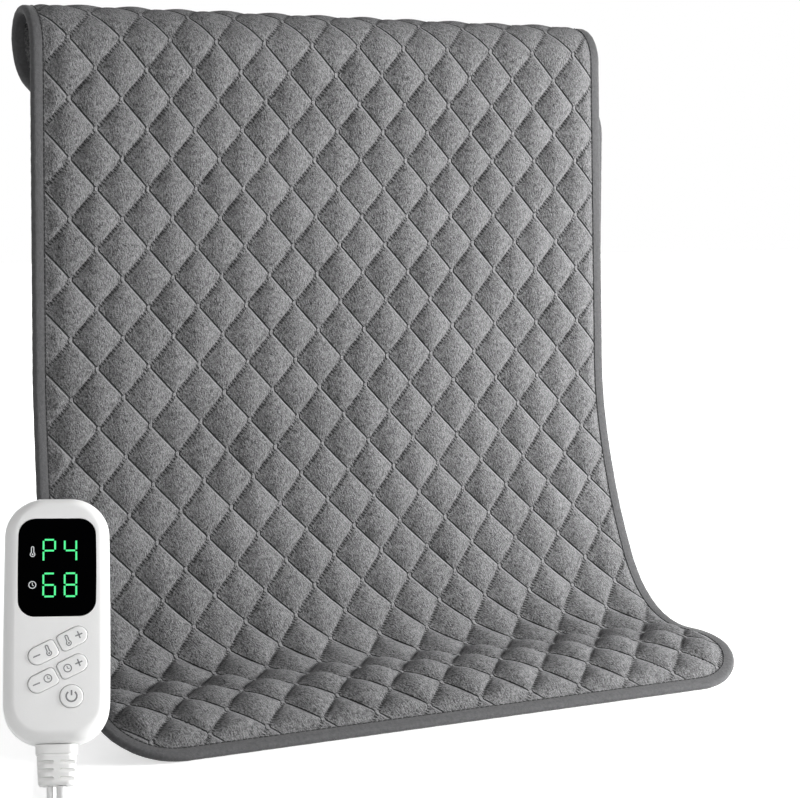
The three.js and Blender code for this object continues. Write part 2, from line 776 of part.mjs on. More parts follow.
function leastGap(points, diameter, perTurn) {
  let least = Infinity;
  points.forEach((p, i) => {
    for (let j = i + Math.round(perTurn * 0.6); j < points.length; j += 1) {
      least = Math.min(least, p.distanceTo(points[j]) - diameter);
    }
  });
  return least;
}

// Tie round the windings of a coil, on the side that an angle names.
function coilTie({ center, diameter, inner, turns, layers }, angle) {
  const pitch = diameter + coilGap;
  const low = inner - pitch / 2 - diameter / 2 - clearance;
  const high = inner + pitch * (turns + 0.5) + diameter / 2 + clearance;
  const top = tieThickness + 2 * clearance + diameter * Math.cos(Math.PI / 6) + (layers - 1) * pitch + 0.3;
  const half = tieWidth / 2;
  const band = block(
    [low - tieThickness, -half, 0],
    [high + tieThickness, half, top + tieThickness],
  );
  const inside = block([low, -tieWidth, tieThickness], [high, tieWidth, top]);
  return cut(band, inside).rotateZ(radians(angle)).translate(center[0], center[1], 0);
}

// Bend of a cord down to the floor, in the upright plane of a plan heading.
function floorBend(start, heading, radius, from, to, steps) {
  return Array.from({ length: steps }, (_, k) => {
    const a = radians(from + (to - from) * (k + 1) / steps);
    const a0 = radians(from);
    const turn = Math.sign(to - from);
    const ahead = radius * turn * (Math.sin(a) - Math.sin(a0));
    const drop = radius * turn * (Math.cos(a0) - Math.cos(a));
    return start.clone().addScaledVector(heading, ahead).add(vector(0, 0, -drop));
  });
}

// Places and headings of the cords at the controller's foot.
const foot = vector(...controllerFoot);
const yaw = radians(-controllerYaw);
const tilt = radians(controllerTilt);
const forward = vector(Math.sin(yaw), -Math.cos(yaw), 0);
const sideways = vector(Math.cos(yaw), Math.sin(yaw), 0);
const downward = forward.clone().multiplyScalar(Math.sin(tilt)).add(vector(0, 0, -Math.cos(tilt)));
const exitSlope = 90 - controllerTilt;
const leadExit = foot.clone().addScaledVector(sideways, leadOffset);
const mainsExit = foot.clone().addScaledVector(sideways, mainsOffset);

const leadCoilShape = {
  center: leadCoilCenter,
  diameter: leadDiameter,
  inner: leadCoilInner,
  turns: leadCoilTurns,
  layers: 2,
  start: 90,
  spin: -1,
  perTurn: 14,
};
const mainsCoilShape = {
  center: mainsCoilCenter,
  diameter: mainsDiameter,
  inner: mainsCoilInner,
  turns: mainsCoilTurns,
  layers: 4,
  start: 180 - controllerYaw,
  spin: 1,
  perTurn: 16,
};
const leadCoilPoints = coilPath(leadCoilShape);
const mainsCoilPoints = coilPath(mainsCoilShape);
console.log('least gap in lead coil', leastGap(leadCoilPoints, leadDiameter, 14).toFixed(2));
console.log('least gap in mains coil', leastGap(mainsCoilPoints, mainsDiameter, 16).toFixed(2));

// A cord's end is held off the coil's end by the gap between pieces.
const beside = (end, inside) => end.clone().addScaledVector(end.clone().sub(inside).normalize(), gap);
const firstOf = (points) => beside(points[0], points[1]);
const lastOf = (points) => beside(points[points.length - 1], points[points.length - 2]);

const leadRadius = leadDiameter / 2;
const mainsRadius = mainsDiameter / 2;
const leadLie = leadRadius + lieMargin;
const mainsLie = mainsRadius + lieMargin;
const leadDrop = foot.z - leadLie - leadBend * (1 + Math.cos(radians(exitSlope)));
const leadKnee = leadExit.clone().addScaledVector(downward, leadDrop / Math.cos(tilt));
const leadStartPoints = [
  leadExit.clone().addScaledVector(downward, gap),
  leadKnee,
  ...floorBend(leadKnee, forward, leadBend, exitSlope, 180, 6),
  vector(-184.5, -18.7, leadLie),
  vector(-173, 12.3, leadLie),
  vector(-162.5, 40.3, leadLie),
  vector(-152, 67.3, leadLie),
  vector(-140, 92.3, leadLie),
  vector(-125, 114.8, leadLie),
  vector(-107, 133.8, leadLie),
  vector(-87, 146.3, leadLie),
  firstOf(leadCoilPoints).add(vector(-12, -0.6, -0.5)),
  firstOf(leadCoilPoints),
];
const mainsDrop = foot.z - mainsLie - mainsBend * (1 - Math.cos(radians(exitSlope)));
const mainsKnee = mainsExit.clone().addScaledVector(downward, mainsDrop / Math.cos(tilt));
const mainsFloor = floorBend(mainsKnee, forward, mainsBend, exitSlope, 0, 4);
const mainsLanding = mainsFloor.at(-1);
const mainsEntry = firstOf(mainsCoilPoints);
const mainsStartPoints = [
  mainsExit.clone().addScaledVector(downward, gap),
  mainsKnee,
  ...mainsFloor,
  mainsLanding.clone().lerp(mainsEntry, 0.35).setZ(mainsLie),
  mainsLanding.clone().lerp(mainsEntry, 0.7).setZ(mainsLie + 0.2),
  mainsEntry,
];
const bootFoot = drapedPoint(bootOffset, bootTop + bootLength, bootMiddle);
const leadEndPoints = [
  lastOf(leadCoilPoints),
  bootFoot.clone().add(vector(3.4, 17.5, 0)).setZ(2.9),
  bootFoot.clone().add(vector(1.2, 10, 0)).setZ(2.6),
  bootFoot.clone().add(vector(0.2, 4, 0)).setZ(5.8),
  bootFoot.clone().add(vector(0, 1, 0)).setZ(12.5),
  bootFoot.clone().setZ(22),
  bootFoot.clone().lerp(bootFoot.clone().setZ(22), 0.5),
  bootFoot.clone().add(vector(0, 0, -6)),
  bootFoot.clone().add(vector(0, 0, -gap)),
];
const mainsLeave = lastOf(mainsCoilPoints);
const plugStart = vector(mainsLeave.x + 45, mainsLeave.y - 1.5, plugHeight / 2);
const mainsEndPoints = [
  mainsLeave,
  mainsLeave.clone().add(vector(9, -0.1, -0.9)),
  mainsLeave.clone().add(vector(20, -0.5, -4.4)),
  mainsLeave.clone().add(vector(31, -1.1, -8.3)),
  plugStart.clone().add(vector(-5, 0, 0.1)),
  plugStart,
];

// Plug: tapered boot, body and two flat blades, lying on the floor.
function plugBody() {
  const ring = (x, wide, high) => roundedOutline(wide, high, Math.min(wide, high) * 0.36, 3)
    .map(([y, z]) => vector(plugStart.x + x, plugStart.y + y, plugStart.z + z));
  return loft([
    ring(gap, 6.6, 6.6),
    ring(plugBoot * 0.85, 9.5, 9.5),
    ring(plugBoot, plugWidth * 0.75, plugHeight * 0.9),
    ring(plugBoot + 4, plugWidth, plugHeight),
    ring(plugBoot + plugLength - 1.5, plugWidth, plugHeight),
    ring(plugBoot + plugLength, plugWidth - 2.5, plugHeight - 2.5),
  ]);
}

function plugBlade(side) {
  const x = plugStart.x + plugBoot + plugLength + gap;
  const y = plugStart.y + side * bladeSpacing / 2;
  const z = plugStart.z;
  return block(
    [x, y - bladeThickness / 2, z - bladeWidth / 2],
    [x + bladeLength, y + bladeThickness / 2, z + bladeWidth / 2],
  );
}

// Naming, materials and assembly.
const part = new THREE.Group();
part.name = 'heating_pad';
const controller = new THREE.Group();
controller.name = 'controller';
controller.rotation.order = 'ZYX';
controller.rotation.set(Math.PI / 2 - tilt, 0, yaw);
controller.rotateZ(radians(-controllerRoll));
controller.position.copy(foot);
part.add(controller);

function piece(parent, name, geometry, color, roughness, metalness = 0) {
  const mesh = new THREE.Mesh(geometry, new THREE.MeshStandardMaterial({ color, roughness, metalness }));
  mesh.name = name;
  parent.add(mesh);
}

piece(part, 'quilted_cover', quiltedCover(), 0x77777a, 0.95);
piece(part, 'batting_sheet', padLayer(battingLow, battingTop), 0xe6e4de, 0.95);
piece(part, 'heating_wire', heatingWire(), 0xb9562f, 0.6);
piece(part, 'thermal_cutout', thermalCutout(), 0x2b2b2d, 0.5);
piece(part, 'wire_carrier', padLayer(carrierLow, carrierTop), 0xd9d6cc, 0.95);
piece(part, 'back_cover', padLayer(backLow, backTop), 0x77777a, 0.95);
piece(part, 'edge_binding', edgeBinding(), 0x6a6a6d, 0.9);
piece(part, 'pad_inlet_boot', inletBoot(), 0xd8d8d6, 0.6);

piece(controller, 'front_shell', frontShell(), 0xf0f0ee, 0.4);
piece(controller, 'rear_shell', rearShell(), 0xf0f0ee, 0.4);
piece(controller, 'display_window', displayWindow(), 0x0b0b0d, 0.12);
const moduleHalf = [windowWidth / 2 - 1.7, windowLength / 2 - 1.8];
piece(controller, 'display_module', block(
  [-moduleHalf[0], windowMiddle - moduleHalf[1], gap],
  [moduleHalf[0], windowMiddle + moduleHalf[1], innerFace - 2 * gap - flangeThickness],
), 0x1c1c1f, 0.6);
piece(controller, 'circuit_board', circuitBoard(), 0x1f5a38, 0.6);
buttons.forEach((b) => {
  piece(controller, `${b.name}_button`, button(b), 0xf4f4f2, 0.45);
  piece(controller, `${b.name}_switch`, tactSwitch(b), 0x303034, 0.5);
});
const boardBack = boardLow - gap;
piece(controller, 'microcontroller', block(
  [-8, bodyMiddle + 8, boardBack - 1.5],
  [2, bodyMiddle + 18, boardBack],
), 0x18181a, 0.5);
piece(controller, 'triac', block(
  [4, bodyMiddle - 33, boardBack - 3.2],
  [12, bodyMiddle - 23, boardBack],
), 0x18181a, 0.5);
piece(controller, 'filter_capacitor', block(
  [-9, bodyMiddle - 33, boardBack - 4],
  [2, bodyMiddle - 24, boardBack],
), 0xb98a2e, 0.5);
piece(controller, 'fuse', rod(0, 0, 1.7, -5.5, 5.5, 12)
  .rotateX(Math.PI / 2)
  .translate(7, bodyMiddle - 14, boardBack - 1.7), 0xd8d8d2, 0.3);
[-3.9, -1.5, 1.5, 3.9].forEach((x, i) => {
  piece(controller, `inner_wire_${i + 1}`, innerWire(x), i % 2 ? 0x2a2a2c : 0xd8d8d8, 0.5);
});
piece(controller, 'strain_relief', strainRelief(), 0xededeb, 0.5);
screwSpots.forEach((spot, i) => piece(controller, `case_screw_${i + 1}`, caseScrew(spot), 0xb4b6ba, 0.35, 1));

piece(part, 'pad_lead_start', cordTube(leadStartPoints, leadDiameter, 60), 0xeeeeec, 0.5);
piece(part, 'pad_lead_coil', levelTube(leadCoilPoints, leadRadius, 6), 0xeeeeec, 0.5);
piece(part, 'pad_lead_end', cordTube(leadEndPoints, leadDiameter, 26), 0xeeeeec, 0.5);
piece(part, 'lead_tie', coilTie(leadCoilShape, 210), 0x2b2b2d, 0.6);
piece(part, 'mains_cord_start', cordTube(mainsStartPoints, mainsDiameter, 18), 0xeeeeec, 0.5);
piece(part, 'mains_coil', levelTube(mainsCoilPoints, mainsRadius, 6), 0xeeeeec, 0.5);
piece(part, 'mains_cord_end', cordTube(mainsEndPoints, mainsDiameter, 10), 0xeeeeec, 0.5);
piece(part, 'mains_tie', coilTie(mainsCoilShape, 60), 0x2b2b2d, 0.6);
piece(part, 'plug_body', plugBody(), 0xeeeeec, 0.5);
piece(part, 'plug_blade_1', plugBlade(-1), 0xc9a85a, 0.3, 1);
piece(part, 'plug_blade_2', plugBlade(1), 0xc9a85a, 0.3, 1);

export default part;
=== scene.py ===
"""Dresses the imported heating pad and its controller: cords, soft goods, case, display, light and camera."""

import math

import bpy
import numpy as np
from mathutils import Euler, Matrix, Vector


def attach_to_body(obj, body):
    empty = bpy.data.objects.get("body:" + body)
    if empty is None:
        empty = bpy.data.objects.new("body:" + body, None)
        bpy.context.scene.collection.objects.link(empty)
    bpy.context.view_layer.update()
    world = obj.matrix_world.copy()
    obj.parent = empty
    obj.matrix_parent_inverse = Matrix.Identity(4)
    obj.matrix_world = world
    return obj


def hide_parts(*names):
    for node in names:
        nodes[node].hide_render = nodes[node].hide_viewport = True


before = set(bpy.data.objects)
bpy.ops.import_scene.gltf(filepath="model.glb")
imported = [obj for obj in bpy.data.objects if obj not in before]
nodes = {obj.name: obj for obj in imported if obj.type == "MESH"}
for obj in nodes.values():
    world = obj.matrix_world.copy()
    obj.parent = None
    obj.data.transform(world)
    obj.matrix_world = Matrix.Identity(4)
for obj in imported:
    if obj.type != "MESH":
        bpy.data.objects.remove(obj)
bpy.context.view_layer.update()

ROOT = "pad_and_case"
MM = 0.001

# Camera of the photograph, metres and degrees.
CAMERA_PLACE = (-0.4501, -0.74185, 0.2328)
CAMERA_PITCH = 84.25
CAMERA_YAW = -30.32
CAMERA_LENS = 36 * 2005 / 800

# Pad, millimetres, as in the source.
PAD_WIDTH = 305.0
PAD_LENGTH = 610.0
CORNER = 30.0
REACH = 2.7
FRONT_RISE = 2.3
FRONT_SETBACK = 6.0
LIP = (
    (0.0, 30.0),
    (11.5, 33.0),
    (24.75, 26.3),
    (38.0, 7.9),
    (51.25, -2.4),
    (64.5, 19.9),
    (77.75, 45.8),
    (91.0, 66.8),
    (104.25, 81.1),
    (120.0, 84.0),
    (136.0, 87.9),
)
PANEL = 216.8
LOOP_TURN = 240.0
LOOP_RADIUS = 18.5
LOOP_RETURN = 10.3
TAIL_RADIUS = 16.0
TWIST = 7.6
SKEW = 14.6
FLARE = 0.068
TWIST_LENGTH = 191.6
TAIL_SHIFT = 6.5
SIDE_DRAW = 3.6
SIDE_DRAW_FROM = 45.0
SIDE_DRAW_SPAN = 65.0
SIDE_SAG = 2.0
COLUMN = 24.5
ROW = 13.25
FIRST_ROW = 11.5
PANEL_START = FIRST_ROW + TWIST_LENGTH
BACK_LOW = -4.4
BACK_TOP = -3.8
BATTING = (-1.35, -0.65)
CARRIER = (-3.55, -2.95)
COVER_LOW = -0.4
RIM_MIDDLE = -1.9
CORNER_INNER = 80.0
SHEET_FLOOR = 0.25

# Quilting: crowns of both covers, flatter over the loop, beads at the crossings, stitches per diamond.
CROWN = 3.5
BACK_CROWN = 1.0
LOOP_FLATTENING = 0.68
BEAD = (1.0, 1.3)
BEAD_HEIGHT = 0.6
STITCHES = 11.5
QUILT_LAYER = "UVMap"

# Stitches along the binding: place in the tape's section, spacing, length and thickness.
BINDING_STITCH = dict(offset=-3.85, height=-0.5, pitch=2.3, length=2.2, thick=0.3)

# Controller, millimetres, in its own frame: X right, Y up the body, Z out of the face.
FOOT = Vector((-195.6, -56.0, 17.0))
YAW = math.radians(-20.4)
TILT = math.radians(24.0)
ROLL = math.radians(1.2)
BODY = (38.8, 93.1, 14.5)
BODY_MIDDLE = 15 + BODY[1] / 2
BULGE = 0.02
FRONT_DEPTH = 9.2
REAR_DEPTH = 8.8
WINDOW = (28.4, 37.6, 6.0)
WINDOW_GAP = 0.15
WINDOW_MIDDLE = BODY_MIDDLE + 18.9
GLASS_TOP = FRONT_DEPTH - 0.05
POWER_RADIUS = 4.25
PILL_HALF, PILL_END, PILL_CORNER = 5.55, 3.35, 1.675
BUTTON_TILT = 26.5
BUTTON_GAP = 0.22
BUTTON_EDGE = 0.5
BUTTON_PROUD = 0.42
BUTTON_TOP = FRONT_DEPTH + BUTTON_PROUD
SPOTS = {
    "temp_down": (-5.15, -13.8),
    "temp_up": (5.9, -8.2),
    "time_down": (-5.15, -24.3),
    "time_up": (5.9, -18.7),
    "power": (5.4, -30.1),
}
SCREWS = ((-14.2, -2.6), (14.2, -2.6), (-10.5, -38.0), (10.5, -38.0))
RELIEF = (15.4, 9.0, 3.4)
CONTROLLER = (
    Matrix.Translation(FOOT)
    @ Matrix.Rotation(YAW, 4, "Z")
    @ Matrix.Rotation(math.pi / 2 - TILT, 4, "X")
    @ Matrix.Rotation(-ROLL, 4, "Z")
)


# Meshes.


def piece(name, verts, faces, material, smooth=40.0, scale=MM):
    """A mesh object from points in millimetres; edges sharper than smooth degrees stay crisp."""
    mesh = bpy.data.meshes.new(name)
    mesh.from_pydata([tuple(float(c) * scale for c in v) for v in verts], [], faces)
    mesh.validate()
    obj = bpy.data.objects.new(name, mesh)
    bpy.context.collection.objects.link(obj)
    tidy_shading(obj, smooth)
    obj.data.materials.append(material)
    return obj


def tidy_shading(obj, smooth):
    obj.data.polygons.foreach_set("use_smooth", [True] * len(obj.data.polygons))
    obj.data.set_sharp_from_angle(angle=math.radians(smooth))


def attach(obj, body, slot, *replaced):
    """Puts a piece on a body, in place of the solids that it stands for; the slot is not used."""
    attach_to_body(obj, body)
    if replaced:
        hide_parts(*replaced)
    return obj


def loft_faces(count, rings, closed=False):
    faces = []
    for k in range(rings if closed else rings - 1):
        near, far = k * count, (k + 1) % rings * count
        for i in range(count):
            j = (i + 1) % count
            faces.append((near + i, near + j, far + j, far + i))
    if not closed:
        last = (rings - 1) * count
        faces.append(tuple(reversed(range(count))))
        faces.append(tuple(range(last, last + count)))
    return faces


def loft(name, rings, material, smooth=35.0, closed=False):
    points = [p for ring in rings for p in ring]
    return piece(name, points, loft_faces(len(rings[0]), len(rings), closed), material, smooth)


def in_case(points):
    """Points of the controller's frame, in the part's frame, all in millimetres."""
    return [tuple(CONTROLLER @ Vector(p)) for p in points]


def arc(cx, cy, radius, start, end, steps):
    turn = np.radians(np.linspace(start, end, steps + 1))
    return [(cx + radius * math.cos(a), cy + radius * math.sin(a)) for a in turn]


def rounded(width, height, corner, steps, bulge=0.0, sides=5):
    """Rounded rectangle, counter-clockwise, with points along its long sides so that they can swell."""
    x, y = width / 2 - corner, height / 2 - corner
    rise = [y * (1 - 2 * k / (sides + 1)) for k in range(1, sides + 1)]
    points = arc(x, y, corner, 0, 90, steps) + arc(-x, y, corner, 90, 180, steps)
    points += [(-width / 2, v) for v in rise]
    points += arc(-x, -y, corner, 180, 270, steps) + arc(x, -y, corner, 270, 360, steps)
    points += [(width / 2, -v) for v in rise]
    return [(px * (1 + bulge * (1 - (2 * py / height) ** 2)), py) for px, py in points]


def at_height(outline, z, cx=0.0, cy=0.0):
    return [(x + cx, y + cy, z) for x, y in outline]


def boolean(obj, tools, operation="DIFFERENCE"):
    """Takes the tools away from obj, or joins them to it, and deletes them."""
    for tool in tools:
        modifier = obj.modifiers.new("boolean", "BOOLEAN")
        modifier.operation = operation
        modifier.solver = "EXACT"
        modifier.object = tool
    graph = bpy.context.evaluated_depsgraph_get()
    mesh = bpy.data.meshes.new_from_object(obj.evaluated_get(graph))
    obj.modifiers.clear()
    obj.data = mesh
    for tool in tools:
        bpy.data.objects.remove(tool, do_unlink=True)


# Materials.


def tinted(color, factor):
    return tuple(c * factor for c in color)


def shader(name, color, roughness, **settings):
    material = bpy.data.materials.new(name)
    material.use_nodes = True
    tree = material.node_tree
    bsdf = tree.nodes["Principled BSDF"]
    bsdf.inputs["Base Color"].default_value = (*color, 1)
    bsdf.inputs["Roughness"].default_value = roughness
    for key, value in settings.items():
        bsdf.inputs[key.replace("_", " ")].default_value = value
    return material, tree, bsdf


def math_node(tree, operation, a, b=None, clamp=False):
    node = tree.nodes.new("ShaderNodeMath")
    node.operation = operation
    node.use_clamp = clamp
    for socket, value in zip(node.inputs, (a, b)):
        if value is None:
            continue
        if isinstance(value, (int, float)):
            socket.default_value = value
        else:
            tree.links.new(value, socket)
    return node.outputs[0]


def add_node(tree, kind, **inputs):
    """A new shader node; each input is a plain value or the output that feeds it."""
    node = tree.nodes.new("ShaderNode" + kind)
    for key, value in inputs.items():
        socket = node.inputs[key.replace("_", " ")]
        if isinstance(value, bpy.types.NodeSocket):
            tree.links.new(value, socket)
        else:
            socket.default_value = value
    return node


def noise_node(tree, vector, scale, detail=4.0, roughness=0.55):
    node = add_node(tree, "TexNoise", Vector=vector, Scale=scale, Detail=detail, Roughness=roughness)
    return node.outputs["Fac"]


def ramp_node(tree, value, low, high, dark, light):
    node = add_node(tree, "ValToRGB", Fac=value)
    for element, place, color in zip(node.color_ramp.elements, (low, high), (dark, light)):
        element.position = place
        element.color = (*color, 1)
    return node.outputs["Color"]


def bump_node(tree, bsdf, height, distance):
    node = add_node(tree, "Bump", Strength=1.0, Distance=distance, Height=height)
    tree.links.new(node.outputs["Normal"], bsdf.inputs["Normal"])


def object_vector(tree):
    return tree.nodes.new("ShaderNodeTexCoord").outputs["Object"]


def moulded(name, color, roughness, grain=0.00003, scale=2500.0, spread=0.05, **settings):
    """Moulded plastic or rubber: faint colour and gloss variation and a fine spark-eroded grain."""
    material, tree, bsdf = shader(name, color, roughness, **settings)
    vector = object_vector(tree)
    tone = noise_node(tree, vector, 45.0)
    dark, light = tinted(color, 1 - spread), tinted(color, 1 + spread * 0.4)
    tree.links.new(ramp_node(tree, tone, 0.3, 0.7, dark, light), bsdf.inputs["Base Color"])
    span = add_node(tree, "MapRange", Value=tone, To_Min=roughness - 0.06, To_Max=roughness + 0.06)
    tree.links.new(span.outputs["Result"], bsdf.inputs["Roughness"])
    bump_node(tree, bsdf, noise_node(tree, vector, scale, 2.0), grain)
    return material


def metal(name, color, roughness):
    material, tree, bsdf = shader(name, color, roughness, Metallic=1.0)
    vector = object_vector(tree)
    tone = noise_node(tree, vector, 900.0)
    tree.links.new(ramp_node(tree, tone, 0.3, 0.7, tinted(color, 0.82), color), bsdf.inputs["Base Color"])
    bump_node(tree, bsdf, noise_node(tree, vector, 3000.0), 0.00002)
    return material


def glowing(name, color, strength):
    glow = dict(Emission_Color=(*color, 1), Emission_Strength=strength)
    return shader(name, tinted(color, 0.3), 0.3, **glow)[0]


def falloff(tree, value, middle, half, top=1.0):
    """Falls from top at the middle by one for each half away from it, kept between zero and one."""
    away = math_node(tree, "ABSOLUTE", math_node(tree, "SUBTRACT", value, middle))
    return math_node(tree, "SUBTRACT", top, math_node(tree, "DIVIDE", away, half), clamp=True)


def quilt_coordinates(tree):
    """Across and along the pad, in units of the quilting."""
    source = tree.nodes.new("ShaderNodeUVMap")
    source.uv_map = QUILT_LAYER
    split = add_node(tree, "SeparateXYZ", Vector=source.outputs["UV"])
    return split.outputs["X"], split.outputs["Y"]


def quilt_shade_and_highlight(tree):
    """Painted shade and painted highlight of the quilting: painted shade in a groove along one family of
    seams with a painted highlight on its lip, painted shade in dashes across the other, and painted shade in
    a stroke on each side of the bead where they cross, with a painted highlight on the bead."""
    x, y = quilt_coordinates(tree)
    a, b = math_node(tree, "ADD", x, y), math_node(tree, "SUBTRACT", x, y)
    off_a = math_node(tree, "SUBTRACT", a, math_node(tree, "ROUND", a))
    off_b = math_node(tree, "SUBTRACT", b, math_node(tree, "ROUND", b))
    beat = math_node(tree, "PINGPONG", math_node(tree, "MULTIPLY", a, STITCHES), 0.5)
    dash = math_node(tree, "MULTIPLY", math_node(tree, "SUBTRACT", beat, 0.26), 6.0, clamp=True)
    # Painted shade: dark in the groove along one family of seams and in the dashes across the other.
    groove = falloff(tree, off_a, 0.013, 0.024)
    # Painted highlight on the lip beside the groove, the side that faces the light.
    lip_highlight = falloff(tree, off_a, -0.034, 0.028)
    across = falloff(tree, off_b, 0.02, 0.04, 1.3)
    seam = math_node(tree, "MAXIMUM", groove, math_node(tree, "MULTIPLY", across, dash))
    beside = math_node(tree, "ABSOLUTE", math_node(tree, "ADD", off_a, off_b))
    above = math_node(tree, "ABSOLUTE", math_node(tree, "SUBTRACT", off_a, off_b))
    level = falloff(tree, above, 0.0, 0.045, 2.0)
    # Painted shade in a stroke on each side of the bead.
    side = math_node(tree, "MULTIPLY", falloff(tree, beside, 0.085, 0.035), level)
    bead = math_node(tree, "MULTIPLY", falloff(tree, beside, 0.0, 0.025, 2.9), level)
    plain = math_node(tree, "SUBTRACT", 1.0, bead)
    bead_side_shade = math_node(tree, "MULTIPLY", side, 0.65)
    # All the painted shade, kept off the bead.
    dark = math_node(tree, "MAXIMUM", math_node(tree, "MULTIPLY", seam, plain), bead_side_shade)
    # Painted highlight on the bead, and on the lips away from the bead.
    bead_highlight = math_node(tree, "MULTIPLY", bead, 0.4)
    light = math_node(tree, "ADD", math_node(tree, "MULTIPLY", lip_highlight, plain), bead_highlight)
    # Painted shade first, then painted highlight.
    return dark, light


def fibres(tree):
    """Slanted streaks of the brushed pile, finer across the pad than along it."""
    x, y = quilt_coordinates(tree)
    slant = math_node(tree, "ADD", x, math_node(tree, "MULTIPLY", y, 0.3))
    x, y = math_node(tree, "MULTIPLY", slant, 40.0), math_node(tree, "MULTIPLY", y, 14.0)
    join = add_node(tree, "CombineXYZ", X=x, Y=y)
    return noise_node(tree, join.outputs["Vector"], 1.0, 2.0, 0.6)


def blend(tree, *parts):
    """Sum of values, each with its weight."""
    total = None
    for value, weight in parts:
        share = math_node(tree, "MULTIPLY", value, weight)
        total = share if total is None else math_node(tree, "ADD", total, share)
    return total


def plush(name, color, stitched):
    """Short-pile plush, crushed here and there; stitched plush has the diamond quilting's painted shade in
    its seams and painted highlights on their lips and beads.
    """
    sheen = dict(Sheen_Weight=0.15, Sheen_Roughness=0.5, Sheen_Tint=(0.8, 0.8, 0.82, 1))
    material, tree, bsdf = shader(name, color, 0.95, Specular_IOR_Level=0.15, **sheen)
    vector = object_vector(tree)
    pile = noise_node(tree, vector, 1500.0, 2.0, 0.7)
    crush = noise_node(tree, vector, 380.0, 4.0, 0.65)
    patch = noise_node(tree, vector, 28.0, 3.0)
    if stitched:
        low = 0.66
        fibre = fibres(tree)
        painted_seam_shade, painted_seam_highlight = quilt_shade_and_highlight(tree)
        # Painted shade along the seams and painted highlights on their lips and beads, darkening and
        # brightening the colour.
        marks = ((painted_seam_shade, -0.62), (painted_seam_highlight, 0.46))
        tone = blend(tree, (pile, 0.66), (crush, 0.3), (fibre, 0.58), (patch, 0.14), *marks)
        # The same masks also sink the seams in the bump.
        relief = ((painted_seam_shade, -0.9), (painted_seam_highlight, 0.3))
        height = blend(tree, (pile, 0.6), (crush, 0.5), (fibre, 0.5), *relief)
    else:
        low = 0.41
        tone = blend(tree, (pile, 0.5), (crush, 0.5), (patch, 0.2))
        height = blend(tree, (pile, 0.5), (crush, 1.0))
    dark, light = tinted(color, 0.2), tinted(color, 1.85)
    tree.links.new(ramp_node(tree, tone, low, low + 0.37, dark, light), bsdf.inputs["Base Color"])
    bump_node(tree, bsdf, height, 0.0009)
    return material


def woven(name, color):
    """Folded binding tape: a smooth, faintly mottled weave."""
    material, tree, bsdf = shader(name, color, 0.85, Sheen_Weight=0.15, Sheen_Roughness=0.4)
    tone = noise_node(tree, object_vector(tree), 700.0, 5.0, 0.65)
    dark, light = tinted(color, 0.7), tinted(color, 1.3)
    tree.links.new(ramp_node(tree, tone, 0.25, 0.75, dark, light), bsdf.inputs["Base Color"])
    bump_node(tree, bsdf, tone, 0.0003)
    return material


GREY = (0.118, 0.118, 0.12)
MAT_PLUSH = plush("quilted_plush", GREY, True)
MAT_BACK = plush("back_plush", tinted(GREY, 0.9), True)
MAT_BINDING = woven("binding_tape", (0.06, 0.06, 0.062))
MAT_THREAD = woven("binding_thread", (0.018, 0.018, 0.019))
MAT_FELT = plush("felt", (0.75, 0.74, 0.7), False)
MAT_CASE = moulded("white_case", (0.92, 0.92, 0.915), 0.38, spread=0.02)
MAT_BUTTON = moulded("white_button", (0.93, 0.93, 0.925), 0.42, spread=0.02)
MAT_SOFT = moulded("white_rubber", (0.92, 0.92, 0.91), 0.5, scale=1800.0)
MAT_CORD = moulded("white_cord", (0.9, 0.9, 0.895), 0.4, scale=1500.0)
MAT_WINDOW = moulded(
    "smoked_window",
    (0.0008, 0.0008, 0.001),
    0.2,
    grain=0.000004,
    spread=0.2,
    Specular_IOR_Level=0.0,
)
MAT_BLACK = moulded("black_plastic", (0.015, 0.015, 0.017), 0.5)
MAT_ICON = moulded("grey_print", (0.2, 0.2, 0.21), 0.5)
MAT_MARK = glowing("white_mark", (0.62, 0.64, 0.66), 0.75)
MAT_DIGIT = glowing("green_digit", (0.035, 0.8, 0.23), 1.0)
MAT_BOARD = moulded("green_board", (0.015, 0.1, 0.04), 0.45)
MAT_WIRE = moulded("wire_jacket", (0.48, 0.1, 0.03), 0.5)
MAT_LEADS = moulded("inner_leads", (0.4, 0.4, 0.4), 0.5)
MAT_FILM = moulded("capacitor_dip", (0.45, 0.25, 0.03), 0.3)
MAT_FUSE = moulded("fuse_glass", (0.6, 0.6, 0.56), 0.12, Transmission_Weight=0.6)
MAT_STEEL = metal("plated_screw", (0.6, 0.6, 0.62), 0.35)
MAT_BRASS = metal("plated_blade", (0.62, 0.58, 0.5), 0.3)

BLACK_NODES = ["thermal_cutout", "display_module", "microcontroller", "triac", "inner_wire_2", "inner_wire_4"]
NODE_MATERIALS = (
    (MAT_WIRE, ["heating_wire"]),
    (MAT_BLACK, BLACK_NODES + [f"{key}_switch" for key in SPOTS]),
    (MAT_SOFT, ["pad_inlet_boot"]),
    (MAT_WINDOW, ["display_window"]),
    (MAT_BOARD, ["circuit_board"]),
    (MAT_FILM, ["filter_capacitor"]),
    (MAT_FUSE, ["fuse"]),
    (MAT_LEADS, ["inner_wire_1", "inner_wire_3"]),
    (MAT_STEEL, [f"case_screw_{k + 1}" for k in range(len(SCREWS))]),
    (MAT_BRASS, ["plug_blade_1", "plug_blade_2"]),
)
for node_material, node_names in NODE_MATERIALS:
    for node_name in node_names:
        node = nodes[node_name]
        node.data.materials.clear()
        node.data.materials.append(node_material)
        tidy_shading(node, 35.0)


# Camera.

camera_data = bpy.data.cameras.new("camera")
camera_data.sensor_fit = "HORIZONTAL"
camera_data.sensor_width = 36
camera_data.lens = CAMERA_LENS
camera_data.clip_start = 0.01
camera = bpy.data.objects.new("camera", camera_data)
camera.location = CAMERA_PLACE
camera.rotation_euler = Euler((math.radians(CAMERA_PITCH), 0, math.radians(CAMERA_YAW)))
bpy.context.collection.objects.link(camera)
bpy.context.scene.camera = camera


# Cords: the same routes as the solids.

